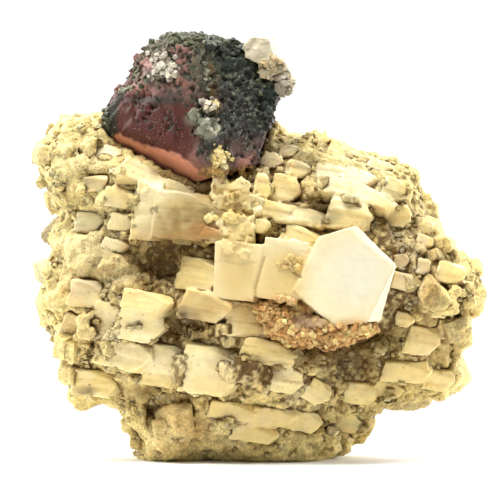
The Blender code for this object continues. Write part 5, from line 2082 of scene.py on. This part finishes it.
@dataclass
class WhitePlates:
    """The six-sided white crystal plate and the split plates beside it."""

    dresser: Dresser
    voxel: float = 0.32
    lumps: tuple = ((-5.6, 53.2, 5.4), (-4.0, 46.6, 3.6))

    def build(self) -> list[Piece]:
        """Models the plates.

        Returns:
            The pieces, dressed.
        """
        draw = random.Random(SEED + 2)
        plates = merged_copy(self.dresser.node, "white_plates")
        maker = GrainMaker(draw)
        crumbs = maker.scatter("crumbs", ShowSide(plates).seats(LUMP_CLUSTERS, draw)[0])[0]
        plates = join([plates, crumbs], "white_plates")
        remeshed(plates, self.voxel)
        points = vertex_table(plates)
        drawn = points * np.array((0.12, 0.3, 1.0)) + np.array((0.0, 0.0, 0.17)) * points[:, :1]
        relief = 0.05 * mottling(drawn, 0.9, 3.0) + 0.03 * mottling(points, 2.8, 6.0)
        relief += 0.05 * mottling(points, 0.8, 9.0)
        relief += self.lumpy(points)
        for line in PLATE_CRACKS:
            relief -= line.depth * line.near(points)
        press(plates, points, relief)
        seats, shades = ShowSide(plates).seats(PLATE_CLUSTERS, draw)
        group, owners = maker.scatter("plate_crumbs", seats)
        self.dresser.colouring.shelter = Shelter([plates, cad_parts["rusty_crust"]], 2.0)
        self.dresser.dress(plates, 0.6)
        self.dresser.dress(group, 0.3, owners, shades)
        return [plates, group]

    def lumpy(self, points: np.ndarray) -> np.ndarray:
        """The coarse relief of the yellow lumps above the plates.

        Args:
            points: Places in millimetres.

        Returns:
            How far each place stands out, in millimetres.
        """
        relief = np.zeros(len(points))
        rough = 0.7 * mottling(points, 2.2, 21.0) + 0.3 * mottling(points, 0.9, 23.0)
        for x, z, reach in self.lumps:
            away = np.hypot(points[:, 0] - x, points[:, 2] - z) / reach
            share = np.clip(2.4 - 2.0 * away, 0.0, 1.0)
            relief += share * (rough - 0.7 * np.clip(away - 0.55, 0.0, 1.0))
        return relief


@dataclass
class RustyCrust:
    """The iron-stained crust that hangs under the plates."""

    dresser: Dresser
    voxel: float = 0.3
    grains: int = 800
    grain_sizes: tuple = (0.14, 0.42)
    tones: tuple = (Tone.AMBER, Tone.RUST, Tone.STRAW, Tone.AMBER)
    smooth: tuple = (9.8, 28.8, 3.6, 1.9)

    def build(self) -> list[Piece]:
        """Models the crust and its grains.

        Returns:
            The pieces, dressed.
        """
        draw = random.Random(SEED + 3)
        crust = merged_copy(self.dresser.node, "rusty_crust_body")
        remeshed(crust, self.voxel)
        roughened(crust, (("CLOUDS", 2.2, 0.8), ("VORONOI", 1.0, -0.7), ("CLOUDS", 0.5, 0.25)))
        finder = SeatFinder(crust, draw)
        seats, shades = skin_seats(
            finder, self.grains, self.grain_sizes, self.tones, self.takes_grain, draw
        )
        grains, owners = GrainMaker(draw).scatter("rusty_crust_grains", seats)
        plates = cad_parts["white_feldspar_plates"]
        self.dresser.colouring.shelter = Shelter([crust, grains, plates], 2.4)
        self.dresser.dress(crust, 0.6)
        self.dresser.dress(grains, 0.5, owners, shades)
        return [crust, grains]

    def takes_grain(self, point: np.ndarray, normal: np.ndarray) -> bool:
        """Whether a grain stands at a place: everywhere but on the smooth lilac middle."""
        x, z, across, up = self.smooth
        return ((point[0] - x) / across) ** 2 + ((point[2] - z) / up) ** 2 > 1.0 and normal[1] < 0.6


@dataclass
class PerchedQuartz:
    """The pale quartz crystals perched on the fluorite's upper right edge."""

    dresser: Dresser
    voxel: float = 0.2

    def build(self) -> list[Piece]:
        """Models the crystals and the crumbs on them.

        Returns:
            The pieces, dressed.
        """
        draw = random.Random(SEED + 4)
        quartz = merged_copy(self.dresser.node, "perched_crystals")
        remeshed(quartz, self.voxel)
        points = vertex_table(quartz)
        wide = mottling(points, 1.4, 3.0)
        relief = 0.35 * np.floor(wide * 3.0) / 3.0 + 0.06 * mottling(points, 0.5, 6.0)
        press(quartz, points, relief)
        seats, shades = ShowSide(quartz).seats(PERCH_CLUSTERS, draw)
        crumbs, owners = GrainMaker(draw).scatter("perched_crumbs", seats)
        self.dresser.colouring.shelter = Shelter([quartz, crumbs], 1.6)
        self.dresser.dress(quartz, 0.7)
        self.dresser.dress(crumbs, 0.2, owners, shades)
        return [quartz, crumbs]


@dataclass
class Studio:
    """The camera, the pale floor and the soft light, none of them part of the specimen."""

    lens: float = 500.0
    distance: float = 1.389
    elevation: float = 2.0
    aim: tuple = (-0.0018, -0.0114, 0.0426)
    lights: tuple = (
        ("top_softbox", (-0.06, -0.12, 0.50), (0.30, 0.26), 4.4),
        ("back_softbox", (0.05, 0.40, 0.32), (0.60, 0.30), 2.2),
        ("left_softbox", (-0.42, 0.16, 0.14), (0.26, 0.30), 2.4),
        ("right_softbox", (0.42, 0.16, 0.10), (0.26, 0.30), 2.8),
        ("front_softbox", (-0.12, -0.60, 0.36), (0.40, 0.40), 0.55),
    )

    def build(self) -> None:
        """Builds the whole set."""
        self.add_camera()
        self.add_floor()
        for light in self.lights:
            self.add_light(*light)
        self.light_world()

    def add_camera(self) -> None:
        """Sets the camera where the photograph was taken from."""
        tilt = math.radians(self.elevation)
        back = Vector((0.0, -math.cos(tilt), math.sin(tilt))) * self.distance
        bpy.ops.object.camera_add(location=Vector(self.aim) + back, rotation=(math.pi / 2 - tilt, 0.0, 0.0))
        camera = bpy.context.object
        camera.name = "camera"
        camera.data.lens = self.lens
        camera.data.clip_end = 20.0
        camera.data.dof.use_dof = False
        bpy.context.scene.camera = camera

    def add_floor(self) -> None:
        """Lays a round pale floor under the specimen, faintly clouded."""
        deselect()
        bpy.ops.mesh.primitive_circle_add(vertices=96, radius=0.17, fill_type="NGON")
        floor = bpy.context.object
        floor.name = "floor"
        wiring = Wiring("pale_floor")
        cloud = wiring.noise(wiring.place(), 9.0)
        tint = wiring.mix(cloud, (0.88, 0.88, 0.88, 1.0), (0.93, 0.93, 0.925, 1.0))
        wiring.feed(wiring.shader, Base_Color=tint, Roughness=0.7)
        floor.data.materials.append(wiring.material)

    def add_light(self, name: str, where: tuple, size: tuple, power: float) -> None:
        """Hangs one soft light that faces the specimen.

        Args:
            name: The light's name.
            where: Its place, in metres.
            size: Its width and height, in metres.
            power: Its power, in watts.
        """
        bpy.ops.object.light_add(type="AREA", location=where)
        light = bpy.context.object
        light.name = name
        light.data.shape = "RECTANGLE"
        light.data.size, light.data.size_y = size
        light.data.energy = power
        aim = Vector((0.0, 0.0, 0.045)) - Vector(where)
        light.rotation_euler = aim.to_track_quat("-Z", "Y").to_euler()

    @staticmethod
    def light_world() -> None:
        """Surrounds the set with white, brighter behind the specimen than before it."""
        scene = bpy.context.scene
        scene.view_settings.view_transform = "Standard"
        scene.view_settings.look = "None"
        world = bpy.data.worlds.new("white_surround")
        scene.world = world
        world.use_nodes = True
        nodes, links = world.node_tree.nodes, world.node_tree.links
        place = nodes.new("ShaderNodeTexCoord")
        split = nodes.new("ShaderNodeSeparateXYZ")
        ramp = nodes.new("ShaderNodeMapRange")
        links.new(place.outputs["Generated"], split.inputs[0])
        links.new(split.outputs["Y"], ramp.inputs["Value"])
        for name, value in (("From Min", 0.0), ("From Max", 0.8), ("To Min", 0.10), ("To Max", 1.05)):
            ramp.inputs[name].default_value = value
        background = nodes["Background"]
        background.inputs["Color"].default_value = (1.0, 1.0, 1.0, 1.0)
        links.new(ramp.outputs["Result"], background.inputs["Strength"])


MINERALS = (
    (FeldsparMatrix, "feldspar_matrix", FELDSPAR, StoneFinish(
        "cream_feldspar", roughness=0.40, glow=0.32, sheen=0.42, streaks=0.08, clouds=0.46
    )),
    (Fluorite, "pink_fluorite", FLUORITE, StoneFinish(
        "pink_fluorite", roughness=0.46, glow=0.10, striation=0.06, grain=0.6, speck=Tone.BONE, specks=0.4,
        speck_scale=1900.0, ior=1.434, sheen=0.3
    )),
    (WhitePlates, "white_feldspar_plates", PLATES, StoneFinish(
        "white_feldspar", roughness=0.40, glow=0.16, striation=0.14, speck=Tone.CREAM, specks=0.2,
        clouds=0.18
    )),
    (RustyCrust, "rusty_crust", CRUST, StoneFinish(
        "rusty_crust", roughness=0.62, glow=0.08, striation=0.2, grain=0.8, speck=Tone.UMBER, specks=0.6,
        sugar=0.4, sheen=0.2
    )),
    (PerchedQuartz, "perched_quartz", QUARTZ, ClearFinish("pale_quartz")),
)


def main() -> None:
    """Builds each mineral in order, then the set around the specimen."""
    logging.basicConfig(level=logging.INFO, format="%(name)s: %(message)s")
    for kind, node, scheme, finish in MINERALS:
        pieces = kind(Dresser(node, Colouring(scheme), finish.make())).build()
        for piece in pieces:
            LOG.info("%s: %d faces", piece.name, len(piece.data.polygons))
    Studio().build()


if __name__ == "__main__":
    main()
